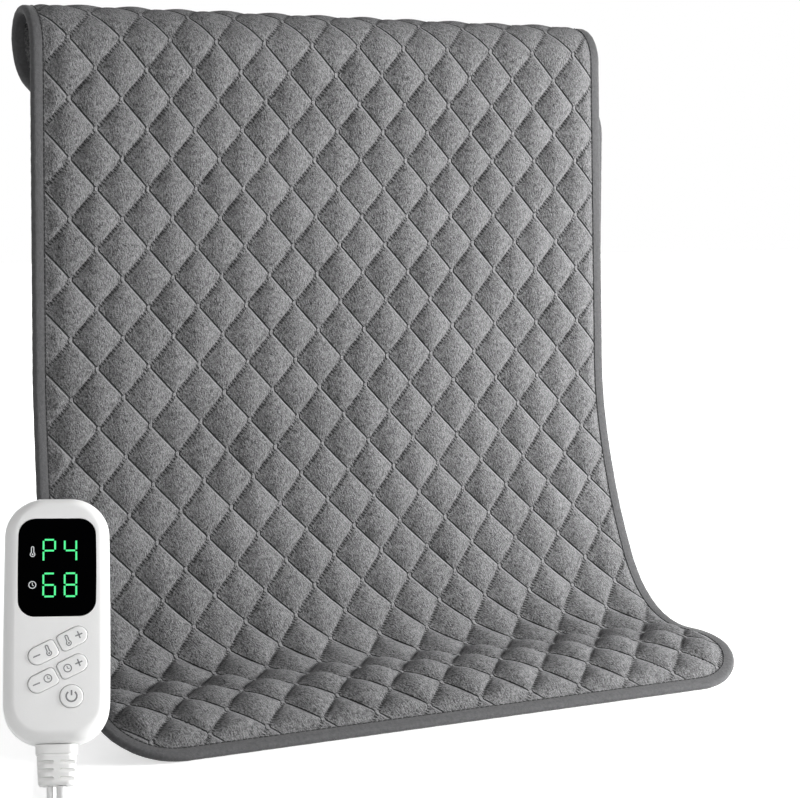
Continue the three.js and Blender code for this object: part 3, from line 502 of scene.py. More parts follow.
FORWARD = Vector((math.sin(YAW), -math.cos(YAW), 0))
SIDEWAYS = Vector((math.cos(YAW), math.sin(YAW), 0))
DOWNWARD = FORWARD * math.sin(TILT) + Vector((0, 0, -math.cos(TILT)))
SLOPE = math.pi / 2 - TILT
LEAD_D, MAINS_D = 2.4, 3.9
LEAD_OFFSET, MAINS_OFFSET = -2.4, 1.85
LEAD_BEND, MAINS_BEND = 8.64, 16.0
SEAT = 0.3
LIE = 0.15
COIL_GAP = 0.6
TIE = 0.6
TIE_CLEAR = 0.35
TIE_CORNER = 1.1
TIE_EDGE = ((0, 2.5), (0.14, 2.42), (0.5, 2.42), (TIE, 2.3))
BOOT_ACROSS, BOOT_LENGTH = -60.0, 22
CORD_STEPS = 8


def smooth(x):
    x = np.clip(x, 0, 1)
    return x * x * (3 - 2 * x)


def coil_path(center, diameter, inner, turns, layers, start, spin, per_turn):
    pitch = diameter + COIL_GAP
    outer = inner + pitch * turns
    base = TIE + TIE_CLEAR + diameter / 2 * math.cos(math.pi / 6)
    steps, half = round(turns * per_turn), round(per_turn / 2)
    angle = math.radians(start)
    points = []

    def place(radius, turned, height):
        a = angle + spin * turned
        x, y = center[0] + radius * math.cos(a), center[1] + radius * math.sin(a)
        points.append(Vector((x, y, base + height)))

    for layer in range(layers):
        inward = layer % 2 == 0
        near, far = (outer, inner) if inward else (inner, outer)
        for i in range(steps + 1):
            share = i / steps
            place(near + (far - near) * share, 2 * math.pi * turns * share, layer * pitch)
        angle += spin * 2 * math.pi * turns
        if layer < layers - 1:
            for i in range(1, half):
                share = i / half
                dip = (-1 if inward else 1) * pitch / 2 * math.sin(math.pi * share)
                place(far + dip, math.pi * share, (layer + float(smooth(share))) * pitch)
            angle += spin * math.pi

    def straight(end, following):
        a = math.atan2(end.y - center[1], end.x - center[0])
        away = Vector((-math.sin(a), math.cos(a), 0))
        return end + away * math.copysign(diameter, away.dot(end - following))

    return [straight(points[0], points[1])] + points + [straight(points[-1], points[-2])]


def beyond(end, inside):
    return end + (end - inside).normalized() * SEAT


def floor_bend(start, heading, radius, first, last, steps):
    turn = math.copysign(1, last - first)
    points = []
    for k in range(steps):
        a = first + (last - first) * (k + 1) / steps
        ahead = radius * turn * (math.sin(a) - math.sin(first))
        drop = radius * turn * (math.cos(first) - math.cos(a))
        points.append(start + heading * ahead - Vector((0, 0, drop)))
    return points


def through(points, per_span):
    """Centripetal curve through points, sampled per_span times between neighbours."""
    ends = [points[0] * 2 - points[1]] + list(points) + [points[-1] * 2 - points[-2]]
    line = []
    for p0, p1, p2, p3 in zip(ends, ends[1:], ends[2:], ends[3:]):
        t0 = 0.0
        t1 = t0 + (p1 - p0).length ** 0.5
        t2 = t1 + (p2 - p1).length ** 0.5
        t3 = t2 + (p3 - p2).length ** 0.5
        for k in range(per_span):
            t = t1 + (t2 - t1) * k / per_span
            a1 = p0.lerp(p1, (t - t0) / (t1 - t0))
            a2 = p1.lerp(p2, (t - t1) / (t2 - t1))
            a3 = p2.lerp(p3, (t - t2) / (t3 - t2))
            b1 = a1.lerp(a2, (t - t0) / (t2 - t0))
            b2 = a2.lerp(a3, (t - t1) / (t3 - t1))
            line.append(b1.lerp(b2, (t - t1) / (t2 - t1)))
    return line + [points[-1]]


def with_z(point, z):
    return Vector((point.x, point.y, z))


def bend(radius, degrees):
    return (radius * math.radians(abs(degrees)), math.radians(degrees))


# Runs of the draped profile: length and turn of each, from the front edge to the end of the tail.
PROFILE = [(b[0] - a[0], math.radians(b[1] - a[1])) for a, b in zip(LIP, LIP[1:])]
PROFILE.append((PANEL, 0.0))
LOOP_START = sum(length for length, turn in PROFILE)
PROFILE.append(bend(LOOP_RADIUS, -LOOP_TURN))
PROFILE.append((LOOP_RETURN, 0.0))
PROFILE.append(bend(TAIL_RADIUS, LOOP_TURN - 90 - LIP[-1][1]))
PROFILE.append((PAD_LENGTH - sum(length for length, turn in PROFILE), 0.0))


def profile_at(distance):
    """Position and heading of the draped pad's stitch level at a distance from its front edge."""
    y, z, heading = -FRONT_SETBACK, FRONT_RISE, math.radians(LIP[0][1])
    left = distance
    for index, (length, turn) in enumerate(PROFILE):
        part = left if index == len(PROFILE) - 1 else min(left, length)
        half = turn * part / length / 2
        chord = part if half == 0 else part * math.sin(half) / half
        y += chord * math.cos(heading + half)
        z += chord * math.sin(heading + half)
        heading += 2 * half
        left -= part
    return y, z, heading


def draped(across, along, out):
    """Points of the pad, arrays in millimetres: across it, along it and out of its front cover."""
    across, along, out = np.broadcast_arrays(
        np.asarray(across, float), np.asarray(along, float), np.asarray(out, float)
    )
    keys, back = np.unique(along.ravel().round(6), return_inverse=True)
    table = np.array([profile_at(k) for k in keys])[back].reshape(along.shape + (3,))
    y, z, heading = table[..., 0], table[..., 1], table[..., 2]
    front = 1 - smooth((along - FIRST_ROW) / TWIST_LENGTH)
    twist = front * TWIST * across / (PAD_WIDTH / 2)
    skew = front * (SKEW + FLARE * across)
    shift = TAIL_SHIFT * smooth((along - LOOP_START) / (PAD_LENGTH * 0.17))
    lean = np.clip((along - PANEL_START) / (LOOP_START - PANEL_START), 0, 1)
    draw = lean * SIDE_DRAW * smooth((-across - SIDE_DRAW_FROM) / SIDE_DRAW_SPAN)
    sag = lean * SIDE_SAG * (0.5 - across / PAD_WIDTH)
    x = across + skew + shift + draw
    return np.stack([x, y - twist - out * np.sin(heading), z - sag + out * np.cos(heading)], -1)


def cord_piece(name, points, diameter):
    curve = bpy.data.curves.new(name, "CURVE")
    curve.dimensions = "3D"
    curve.bevel_depth = diameter / 2 * MM
    curve.bevel_resolution = 4
    curve.use_fill_caps = True
    spline = curve.splines.new("POLY")
    spline.points.add(len(points) - 1)
    for slot, p in zip(spline.points, points):
        slot.co = (p.x * MM, p.y * MM, p.z * MM, 1)
    spline.use_smooth = True
    obj = bpy.data.objects.new(name, curve)
    bpy.context.collection.objects.link(obj)
    obj.data.materials.append(MAT_CORD)
    return obj


def tie_piece(name, center, diameter, inner, turns, layers, angle):
    """Strap round the windings: a soft band with rounded corners."""
    pitch = diameter + COIL_GAP
    low = inner - pitch / 2 - diameter / 2 - TIE_CLEAR
    high = inner + pitch * (turns + 0.5) + diameter / 2 + TIE_CLEAR
    top = TIE + 2 * TIE_CLEAR + diameter * math.cos(math.pi / 6) + (layers - 1) * pitch + SEAT
    middle = ((low + high) / 2, (TIE + top) / 2)
    loops = []
    for grow, half in TIE_EDGE + tuple((grow, -half) for grow, half in reversed(TIE_EDGE)):
        outline = rounded(high - low + 2 * grow, top - TIE + 2 * grow, TIE_CORNER + grow, 5)
        loops.append([(x + middle[0], half, z + middle[1]) for x, z in outline])
    c, s = math.cos(math.radians(angle)), math.sin(math.radians(angle))
    rings = []
    for spots in zip(*loops):
        rings.append([(center[0] + x * c - y * s, center[1] + x * s + y * c, z) for x, y, z in spots])
    return loft(name, rings, MAT_BLACK, smooth=50, closed=True)


LEAD_COIL = dict(center=(-55, 133.3), diameter=LEAD_D, inner=9, turns=2.9375, layers=2)
MAINS_COIL = dict(center=(-188.6, -130.1), diameter=MAINS_D, inner=17, turns=2.95164, layers=4)
lead_turns = coil_path(**LEAD_COIL, start=90, spin=-1, per_turn=36)
mains_turns = coil_path(**MAINS_COIL, start=180 + math.degrees(YAW), spin=1, per_turn=36)

lead_exit = FOOT + SIDEWAYS * LEAD_OFFSET
lead_lie = LEAD_D / 2 + LIE
lead_drop = FOOT.z - lead_lie - LEAD_BEND * (1 + math.cos(SLOPE))
lead_knee = lead_exit + DOWNWARD * (lead_drop / math.cos(TILT))
lead_entry = beyond(lead_turns[0], lead_turns[1])
lead_floor = (
    *((-184.5, -18.7), (-173, 12.3), (-162.5, 40.3), (-152, 67.3)),
    *((-140, 92.3), (-125, 114.8), (-107, 133.8), (-87, 146.3)),
)
lead_start = [
    lead_exit + DOWNWARD * SEAT,
    lead_knee,
    *floor_bend(lead_knee, FORWARD, LEAD_BEND, SLOPE, math.pi, 6),
    *[Vector((x, y, lead_lie)) for x, y in lead_floor],
    lead_entry + Vector((-12, -0.6, -0.5)),
    lead_entry,
]
boot_foot = Vector(draped(BOOT_ACROSS, PAD_LENGTH + SEAT + BOOT_LENGTH, BACK_LOW / 2))
lead_leave = beyond(lead_turns[-1], lead_turns[-2])
lead_end = [
    lead_leave,
    with_z(boot_foot + Vector((3.4, 17.5, 0)), 2.9),
    with_z(boot_foot + Vector((1.2, 10, 0)), 2.6),
    with_z(boot_foot + Vector((0.2, 4, 0)), 5.8),
    with_z(boot_foot + Vector((0, 1, 0)), 12.5),
    with_z(boot_foot, 22),
    boot_foot.lerp(with_z(boot_foot, 22), 0.5),
    boot_foot + Vector((0, 0, -6)),
    boot_foot + Vector((0, 0, -SEAT)),
]
lead_line = through(lead_start, CORD_STEPS) + lead_turns + through(lead_end, CORD_STEPS)

mains_exit = FOOT + SIDEWAYS * MAINS_OFFSET
mains_lie = MAINS_D / 2 + LIE
mains_drop = FOOT.z - mains_lie - MAINS_BEND * (1 - math.cos(SLOPE))
mains_knee = mains_exit + DOWNWARD * (mains_drop / math.cos(TILT))
mains_curve = floor_bend(mains_knee, FORWARD, MAINS_BEND, SLOPE, 0, 4)
mains_entry = beyond(mains_turns[0], mains_turns[1])
mains_start = [
    mains_exit + DOWNWARD * SEAT,
    mains_knee,
    *mains_curve,
    with_z(mains_curve[-1].lerp(mains_entry, 0.35), mains_lie),
    with_z(mains_curve[-1].lerp(mains_entry, 0.7), mains_lie + 0.2),
    mains_entry,
]
mains_leave = beyond(mains_turns[-1], mains_turns[-2])
plug_start = Vector((mains_leave.x + 45, mains_leave.y - 1.5, 6.0))
mains_end = [
    mains_leave,
    mains_leave + Vector((9, -0.1, -0.9)),
    mains_leave + Vector((20, -0.5, -4.4)),
    mains_leave + Vector((31, -1.1, -8.3)),
    plug_start + Vector((-5, 0, 0.1)),
    plug_start,
]
mains_line = through(mains_start, CORD_STEPS) + mains_turns + through(mains_end, CORD_STEPS)

lead = cord_piece("pad_lead", lead_line, LEAD_D)
lead_tie = tie_piece("lead_strap", **LEAD_COIL, angle=210)
attach(lead, ROOT, "cord", "pad_lead_start", "pad_lead_coil", "pad_lead_end")
attach(lead_tie, ROOT, "tie", "lead_tie")


# Sections of the plug's body: distance from the boot's end, width and height.
PLUG_SECTIONS = (
    (17.5, 9.6, 9.4),
    (20.0, 16.5, 10.8),
    (22.0, 20.2, 11.6),
    (24.5, 22.0, 12.0),
    (36.0, 22.0, 12.0),
    (42.3, 21.6, 11.8),
    (43.4, 20.8, 11.0),
    (44.0, 19.4, 9.6),
)
BOOT_RIBS, RIB_PITCH, RIB_DEPTH = 5, 2.7, 0.9


def plug_shell():
    """Plug body with a ribbed boot, lofted round the cord's end."""
    rings = []

    def ring(x, wide, high):
        outline = rounded(wide, high, min(wide, high) * 0.4, 7, sides=1)
        rings.append([(plug_start.x + x, plug_start.y + y, plug_start.z + z) for y, z in outline])

    ring(0.3, 5.6, 5.6)
    ring(0.8, 6.6, 6.6)
    for k in range(BOOT_RIBS):
        x = 2.0 + RIB_PITCH * k
        size = 6.7 + 0.45 * k
        for ahead, grow in ((0, 0), (0.5, -RIB_DEPTH), (1.2, -RIB_DEPTH), (1.7, 0.3)):
            ring(x + ahead, size + grow, size + grow)
    for section in PLUG_SECTIONS:
        ring(*section)
    return loft("plug_shell", rings, MAT_CORD, smooth=45)


plug = plug_shell()
mains = cord_piece("mains_cord", mains_line, MAINS_D)
mains_tie = tie_piece("mains_strap", **MAINS_COIL, angle=60)
attach(plug, ROOT, "plug", "plug_body")
attach(mains, ROOT, "cord", "mains_cord_start", "mains_coil", "mains_cord_end")
attach(mains_tie, ROOT, "tie", "mains_tie")


# Pad.


def half_width(along):
    radius = CORNER - REACH
    reach = np.maximum(0, radius - np.minimum(along - REACH, PAD_LENGTH - REACH - along))
    return PAD_WIDTH / 2 - REACH - radius + np.sqrt(np.maximum(0, radius**2 - reach**2))


def quilt_place(across, along):
    """Across and along the pad in the quilting's units: on a seam their sum or difference is whole."""
    return (across + COLUMN / 2) / COLUMN, (along - FIRST_ROW) / (2 * ROW)


def rim_distance(across, along):
    radius = CORNER - REACH
    side = PAD_WIDTH / 2 - REACH - np.abs(across)
    end = np.minimum(along - REACH, PAD_LENGTH - REACH - along)
    rounding = radius - np.hypot(np.maximum(0, radius - side), np.maximum(0, radius - end))
    return np.minimum(np.minimum(side, end), rounding)


def quilt_height(across, along, crown):
    """Domed diamonds between seams at the stitch level, with a small bead where seams cross."""
    x, y = quilt_place(across, along)
    a, b = x + y, x - y
    p, q = np.abs(2 * (a - np.floor(a)) - 1), np.abs(2 * (b - np.floor(b)) - 1)
    dome = ((1 - p**2) * (1 - q**2)) ** 0.9
    cell = np.sin(np.floor(a) * 12.9898 + np.floor(b) * 78.233) * 43758.5453
    vary = 0.88 + 0.24 * (cell - np.floor(cell))
    near_a, near_b = np.round(a), np.round(b)
    node_across = (near_a + near_b) / 2 * COLUMN - COLUMN / 2
    node_along = (near_a - near_b) * ROW + FIRST_ROW
    node = np.hypot((across - node_across) / BEAD[0], (along - node_along) / BEAD[1])
    stretch = 1 - LOOP_FLATTENING * smooth((along - LOOP_START + 12) / 30)
    pillow = crown * vary * stretch * dome * smooth((node - 0.9) / 1.1)
    bead = BEAD_HEIGHT * np.sqrt(np.clip(1 - node**2, 0, 1))
    return np.maximum(pillow, bead) * smooth((rim_distance(across, along) - 4.0) / 7.0)


def pad_grid(fine):
    """Across and along coordinates of a sheet, on the quilting's lattice: seams run through its points."""
    wide = PAD_WIDTH / 2 - REACH
    pitch_across, pitch_along = COLUMN / fine, 2 * ROW / fine
    first = math.ceil((COLUMN / 2 - wide) / pitch_across + 0.3)
    last = math.floor((COLUMN / 2 + wide) / pitch_across - 0.3)
    low = math.ceil((REACH - FIRST_ROW) / pitch_along + 0.3)
    high = math.floor((PAD_LENGTH - REACH - FIRST_ROW) / pitch_along - 0.3)
    columns, rows = np.arange(first, last + 1), np.arange(low, high + 1)
    across = np.concatenate([[-wide], columns * pitch_across - COLUMN / 2, [wide]])
    along = np.concatenate([[REACH], rows * pitch_along + FIRST_ROW, [PAD_LENGTH - REACH]])
    across, along = np.meshgrid(across, along)
    squeeze = (half_width(along) - CORNER_INNER) / (wide - CORNER_INNER)
    squeezed = CORNER_INNER + (np.abs(across) - CORNER_INNER) * squeeze
    across = np.where(np.abs(across) > CORNER_INNER, np.sign(across) * squeezed, across)
    place = np.add.outer(np.arange(low - 1, high + 1), np.arange(first - 1, last + 1)) + 1
    return across, along, place % fine == 0


def sheet_piece(name, grid, front, back, material):
    """Closed sheet: a grid on each face, joined round the edge, with the quilting's coordinates as UV."""
    across, along, crossed = grid
    rows, columns = across.shape
    pinch = 0.45 + 0.55 * smooth(rim_distance(across, along) / 8)
    faces = [draped(across, along, RIM_MIDDLE + (height - RIM_MIDDLE) * pinch) for height in (front, back)]
    points = np.concatenate([face.reshape(-1, 3) for face in faces])
    points[:, 2] = np.maximum(points[:, 2], SHEET_FLOOR)
    index = np.arange(rows * columns).reshape(rows, columns)
    a, b, c, d = index[:-1, :-1], index[:-1, 1:], index[1:, 1:], index[1:, :-1]
    flip = crossed[..., None]
    first = np.where(flip, np.stack([a, b, d], -1), np.stack([a, b, c], -1)).reshape(-1, 3)
    second = np.where(flip, np.stack([b, c, d], -1), np.stack([a, c, d], -1)).reshape(-1, 3)
    top = np.concatenate([first, second])
    rim = np.concatenate([index[0, :], index[1:, -1], index[-1, -2::-1], index[-2:0:-1, 0]])
    after = np.roll(rim, -1)
    under = rows * columns
    wall = [np.stack([after, rim, rim + under], -1), np.stack([after, rim + under, after + under], -1)]
    faces = np.concatenate([top, top[:, ::-1] + under, *wall])
    obj = piece(name, points, faces.tolist(), material, smooth=80)
    flat = np.stack(quilt_place(across, along), -1).reshape(-1, 2)
    layer = obj.data.uv_layers.new(name=QUILT_LAYER)
    layer.data.foreach_set("uv", np.concatenate([flat, flat])[faces.ravel()].ravel())
    return obj


grid = pad_grid(20)
cover = sheet_piece("quilted_top", grid, quilt_height(*grid[:2], CROWN), COVER_LOW, MAT_PLUSH)
attach(cover, ROOT, "plush", "quilted_cover")

grid = pad_grid(10)
back_face = BACK_LOW - quilt_height(*grid[:2], BACK_CROWN)
backing = sheet_piece("back_panel", grid, BACK_TOP, back_face, MAT_BACK)
attach(backing, ROOT, "plush", "back_cover")

grid = pad_grid(4)
felt = sheet_piece("batting_layer", grid, BATTING[1], BATTING[0], MAT_FELT)
attach(felt, ROOT, "batting", "batting_sheet")
scrim = sheet_piece("wire_scrim", grid, CARRIER[1], CARRIER[0], MAT_FELT)
attach(scrim, ROOT, "carrier", "wire_carrier")


def binding_path(step):
    """Outline of the layers with its outward direction, all round from the middle of the tail's end."""
    radius = CORNER - REACH
    x, low, high = PAD_WIDTH / 2 - REACH - radius, REACH + radius, PAD_LENGTH - REACH - radius
    turn = np.radians(np.linspace(0, 90, 19))
    points = []

    def straight(p, q):
        count = max(2, int(math.dist(p, q) / step))
        heading = math.atan2(q[1] - p[1], q[0] - p[0]) - math.pi / 2
        for k in range(1, count):
            f = k / count
            spot = (p[0] + (q[0] - p[0]) * f, p[1] + (q[1] - p[1]) * f)
            points.append((*spot, math.cos(heading), math.sin(heading)))

    def corner(cx, cy, first):
        for a in turn + math.radians(first):
            points.append((cx + radius * math.cos(a), cy + radius * math.sin(a), math.cos(a), math.sin(a)))

    top = high + radius
    spot = (0, top)
    for cx, cy, first in ((-x, high, 90), (-x, low, 180), (x, low, -90), (x, high, 0)):
        a = math.radians(first)
        straight(spot, (cx + radius * math.cos(a), cy + radius * math.sin(a)))
        corner(cx, cy, first)
        spot = points[-1][:2]
    straight(spot, (0, top))
    points.append((0, top, 0, 1))
    return np.array(points)


def path_run(path):
    """Distance along a closed path at each of its points, and its whole length at the end."""
    closed = np.concatenate([path[:, :2], path[:1, :2]])
    return np.concatenate([[0], np.cumsum(np.hypot(*np.diff(closed, axis=0).T))])


def binding_section():
    """Folded tape: round outside, a hollow for the layers inside, thin turned-in edges, one closed ring."""
    middle, half, bulge = -2.0, 1.85, 1.8
    outside = []
    for a in np.radians(np.linspace(90, -90, 13)):
        outside.append((-0.3 + bulge * math.cos(a), middle + half * math.sin(a)))
    front = [(-3.7, -0.62), (-3.6, -0.34), (-2.6, -0.2), (-1.4, -0.12)]
    back = [(-1.4, -3.9), (-2.6, -3.98), (-3.6, -4.0), (-3.7, -3.7)]
    inside = [(-2.0, -3.45), (0.1, -3.2), (0.15, -2.0), (0.1, -0.8), (-2.0, -0.75)]
    return np.array(front + outside + back + inside)


def binding_piece():
    path, section = binding_path(2.5), binding_section()
    count, rings = len(section), len(path)
    run = path_run(path)
    turns = run[:-1] / run[-1] * 2 * math.pi
    pucker = 0.10 * np.sin(turns * 341) + 0.07 * np.sin(turns * 569 + 1)
    raised = (np.abs(section[:, 0]) < 1.6) | (section[:, 0] > 0)
    out = section[None, :, 0] + pucker[:, None] * raised[None, :] * 0.5
    height = np.repeat(section[None, :, 1], rings, 0)
    across = path[:, 0, None] + path[:, 2, None] * out
    along = path[:, 1, None] + path[:, 3, None] * out
    points = draped(across, along, height).reshape(-1, 3)
    points[:, 2] = np.maximum(points[:, 2], 0.0)
    return piece("binding_tape", points, loft_faces(count, rings, closed=True), MAT_BINDING, smooth=60)


def stitch_row(name, material, offset, height, pitch, length, thick):
    """Sewing stitches along the binding: one small bent thread after another."""
    path = binding_path(0.5)
    run = path_run(path)[:-1]
    verts, faces = [], []
    sides = 5
    for number in range(int(run[-1] / pitch)):
        marks = number * pitch + np.linspace(0, length, 5)
        place = np.stack([np.interp(marks, run, path[:, k]) for k in range(4)], -1)
        lift = height + np.array([-0.15, 0.16, 0.22, 0.16, -0.15])
        across, along = place[:, 0] + place[:, 2] * offset, place[:, 1] + place[:, 3] * offset
        line, upper = draped(across, along, lift), draped(across, along, lift + 1)
        base = len(verts)
        for k in range(5):
            ahead = line[min(k + 1, 4)] - line[max(k - 1, 0)]
            ahead /= np.linalg.norm(ahead)
            normal = upper[k] - line[k]
            side = np.cross(ahead, normal)
            for j in range(sides):
                a = 2 * math.pi * j / sides
                verts.append(line[k] + thick * (side * math.cos(a) + normal * math.sin(a)))
        faces += [tuple(base + i for i in f) for f in loft_faces(sides, 5)]
    verts = np.array(verts)
    verts[:, 2] = np.maximum(verts[:, 2], 0.05)
    return piece(name, verts, faces, material, smooth=80)


binding = attach(binding_piece(), ROOT, "binding", "edge_binding")
stitches = stitch_row("binding_stitches", MAT_THREAD, **BINDING_STITCH)
binding_stitches = attach(stitches, ROOT, "binding")


# Controller.


def shell(profile):
    """Rings of the body's outline, each at a height and drawn in by an inset."""
    rings = []
    for z, inset in profile:
        outline = rounded(BODY[0] - 2 * inset, BODY[1] - 2 * inset, BODY[2] - inset, 14, BULGE, 9)
        rings.append(in_case(at_height(outline, z, 0, BODY_MIDDLE)))
    return rings


def shoulder(low, high, inset, steps):
    turn = np.radians(np.linspace(0, 90, steps + 1))
    return [(low + (high - low) * math.sin(a), inset * (1 - math.cos(a))) for a in turn]


def front_case():
    outer = [(0.0, 0.12), (0.25, 0.0), (3.0, 0.0)] + shoulder(4.2, FRONT_DEPTH, 4.4, 14)
    body = loft("case_front", shell(outer), MAT_CASE)
    hollow = loft("hollow", shell([(-1.0, 1.8), (4.8, 1.8), (7.3, 4.2)]), MAT_CASE)
    wide, high, corner = (size + grow * WINDOW_GAP for size, grow in zip(WINDOW, (2, 2, 1)))
    window = rounded(wide, high, corner, 12, BULGE, 7)
    tools = [hollow, prism("window_cut", at_height(window, 6.0, 0, WINDOW_MIDDLE), 6.0)]
    for key, (x, y) in SPOTS.items():
        opening = at_height(button_outline(key, BUTTON_GAP), 6.0, x, y + BODY_MIDDLE)
        tools.append(prism(f"{key}_cut", opening, 6.0))
    boolean(body, tools)
    tidy_shading(body, 32.0)
    return body


def prism(name, ring, height):
    top = [(x, y, z + height) for x, y, z in ring]
    return loft(name, [in_case(ring), in_case(top)], MAT_CASE)


def rear_case():
    outer = [(-z, inset) for z, inset in reversed(shoulder(4.4, REAR_DEPTH, 5.2, 14))]
    outer += [(-3.0, 0.0), (-0.55, 0.0), (-0.3, 0.12)]
    body = loft("case_rear", shell(outer), MAT_CASE)
    hollow = loft("hollow", shell([(-6.9, 4.0), (-4.2, 1.8), (1.0, 1.8)]), MAT_CASE)
    boolean(body, [hollow])
    boolean(body, screw_columns("post", 3.0, -7.4, 5.5), "UNION")
    boolean(body, screw_columns("recess", 2.2, -12.0, 6.0))
    tidy_shading(body, 32.0)
    return body


def screw_columns(name, radius, low, height):
    outline = arc(0, 0, radius, 0, 348.75, 31)
    return [prism(name, at_height(outline, low, x, y + BODY_MIDDLE), height) for x, y in SCREWS]


def button_outline(key, spread):
    if key == "power":
        return arc(0, 0, POWER_RADIUS + spread, 0, 354, 59)
    half, round_end, tight = PILL_HALF + spread, PILL_END + spread, PILL_CORNER + spread
    outline = arc(half - round_end, 0, round_end, -90, 90, 24)
    outline += arc(-half + tight, round_end - tight, tight, 90, 180, 8)
    outline += arc(-half + tight, tight - round_end, tight, 180, 270, 8)
    a = math.radians(BUTTON_TILT) + (0 if key.endswith("up") else math.pi)
    return [(x * math.cos(a) - y * math.sin(a), x * math.sin(a) + y * math.cos(a)) for x, y in outline]


def button_cap(key):
    x, y = SPOTS[key]
    steps = [(5.7, 0.45), (6.9, 0.45), (6.9, 0.0), (9.1, 0.0)]
    for a in np.radians(np.linspace(15, 90, 6)):
        steps.append((FRONT_DEPTH + 0.36 * math.sin(a), -BUTTON_EDGE * (1 - math.cos(a))))
    rings = [at_height(button_outline(key, spread), z, x, y + BODY_MIDDLE) for z, spread in steps]
    for share, z in ((0.75, BUTTON_TOP - 0.03), (0.4, BUTTON_TOP)):
        shrunk = [(px * share, py * share) for px, py in button_outline(key, -BUTTON_EDGE)]
        rings.append(at_height(shrunk, z, x, y + BODY_MIDDLE))
    rings = [in_case(ring) for ring in rings]
    attach(loft(f"{key}_cap", rings, MAT_BUTTON, 50.0), key, "button", f"{key}_button")


def stroke(points, width, closed=False):
    """Flat ribbon along a plane line, as points and faces."""
    points = [Vector(p) for p in points]
    count = len(points)
    verts, faces = [], []
    for i, p in enumerate(points):
        before = points[i - 1] if closed or i else p
        after = points[(i + 1) % count] if closed or i < count - 1 else p
        heading = (after - before).normalized()
        side = Vector((-heading.y, heading.x)) * width / 2
        verts += [p + side, p - side]
    for i in range(count if closed else count - 1):
        j = (i + 1) % count
        faces.append((2 * i, 2 * i + 1, 2 * j + 1, 2 * j))
    return verts, faces


def merge_strokes(parts):
    verts, faces = [], []
    for part_verts, part_faces in parts:
        base = len(verts)
        verts += part_verts
        faces += [tuple(base + i for i in f) for f in part_faces]
    return verts, faces


def minus_sign(size, width):
    return [stroke([(-size, 0), (size, 0)], width)]


def plus_sign(size, width):
    return minus_sign(size, width) + [stroke([(0, -size), (0, size)], width)]


def thermometer(size, width):
    """Bulb and stem drawn as one outline, with a spot in the bulb."""
    bulb, stem = 0.42 * size, 0.22 * size
    low = -0.55 * size
    lift = math.degrees(math.asin(stem / bulb))
    outline = arc(0, low, bulb, 90 + lift, 450 - lift, 20) + arc(0, 0.72 * size, stem, 0, 180, 8)
    spot = stroke(arc(0, low, bulb * 0.2, 0, 330, 11), bulb * 0.4, True)
    return [stroke(outline, width, True), spot]


def clock_face(size, width):
    ring = stroke(arc(0, 0, size, 0, 350, 35), width, True)
    return [ring, stroke([(0, 0.62 * size), (0, -0.05 * size), (0.4 * size, -0.3 * size)], width * 0.85)]


def power_sign(size, width):
    return [stroke(arc(0, 0, size, 128, 412, 30), width), stroke([(0, 0.15 * size), (0, 1.15 * size)], width)]


def print_on(name, glyph, place, turn, height, thick, material):
    """Prints a glyph on the controller's face, as a thin raised layer."""
    verts, faces = merge_strokes(glyph)
    c, s = math.cos(math.radians(turn)), math.sin(math.radians(turn))
    spots = [(v.x * c - v.y * s + place[0], v.x * s + v.y * c + place[1] + BODY_MIDDLE) for v in verts]
    points = in_case(at_height(spots, height) + at_height(spots, height + thick))
    count = len(spots)
    walled = set()
    layer = []
    for f in faces:
        layer.append(tuple(i + count for i in f))
        for i, j in zip(f, f[1:] + f[:1]):
            if {(i, j), (j, i)}.isdisjoint(walled):
                walled.add((i, j))
                layer.append((i, j, j + count, i + count))
    return piece(name, points, layer, material, smooth=30.0)


SEGMENTS = {
    "a": ((-1, 1), (1, 1)),
    "b": ((1, 1), (1, 0)),
    "c": ((1, 0), (1, -1)),
    "d": ((1, -1), (-1, -1)),
    "e": ((-1, -1), (-1, 0)),
    "f": ((-1, 0), (-1, 1)),
    "g": ((-1, 0), (1, 0)),
}
DIGITS = {"P": "abefg", "4": "bcfg", "6": "acdefg", "8": "abcdefg"}


def digit(character, half_wide, half_high, width):
    parts = []
    for segment in DIGITS[character]:
        p, q = (Vector((x * half_wide, y * half_high)) for x, y in SEGMENTS[segment])
        inset = (q - p).normalized() * width * 0.62
        parts.append(stroke([p + inset, q - inset], width))
    return parts


attach(front_case(), ROOT, "case", "front_shell")
attach(rear_case(), ROOT, "case", "rear_shell")
for key in SPOTS:
    button_cap(key)

SIGN_WIDTH = 0.46
FINE_WIDTH = 0.38
POWER_WIDTH = 0.58
ICON_TURN = 22.0
ICON_LOW, ICON_THICK = BUTTON_TOP - 0.03, 0.06
LESS, MORE = minus_sign(1.4, SIGN_WIDTH), plus_sign(1.4, SIGN_WIDTH)
GLASS, CLOCK = thermometer(2.1, FINE_WIDTH), clock_face(1.4, FINE_WIDTH)
ICONS = {
    "temp_down": (("minus", LESS, -2.45), ("glass", GLASS, 2.15)),
    "temp_up": (("glass", GLASS, -2.15), ("plus", MORE, 2.4)),
    "time_down": (("minus", LESS, -2.45), ("clock", CLOCK, 2.15)),
    "time_up": (("clock", CLOCK, -2.15), ("plus", MORE, 2.4)),
}
for key, glyphs in ICONS.items():
    x, y = SPOTS[key]
    tilt = math.radians(BUTTON_TILT)
    for glyph_name, glyph, shift in glyphs:
        place = (x + shift * math.cos(tilt), y + shift * math.sin(tilt))
        icon_name = f"{key}_{glyph_name}"
        icon = print_on(icon_name, glyph, place, ICON_TURN, ICON_LOW, ICON_THICK, MAT_ICON)
        attach(icon, key, "chip")
sign = power_sign(1.95, POWER_WIDTH)
power_icon = print_on("power_sign", sign, SPOTS["power"], 0, ICON_LOW, ICON_THICK, MAT_ICON)
attach(power_icon, "power", "chip")

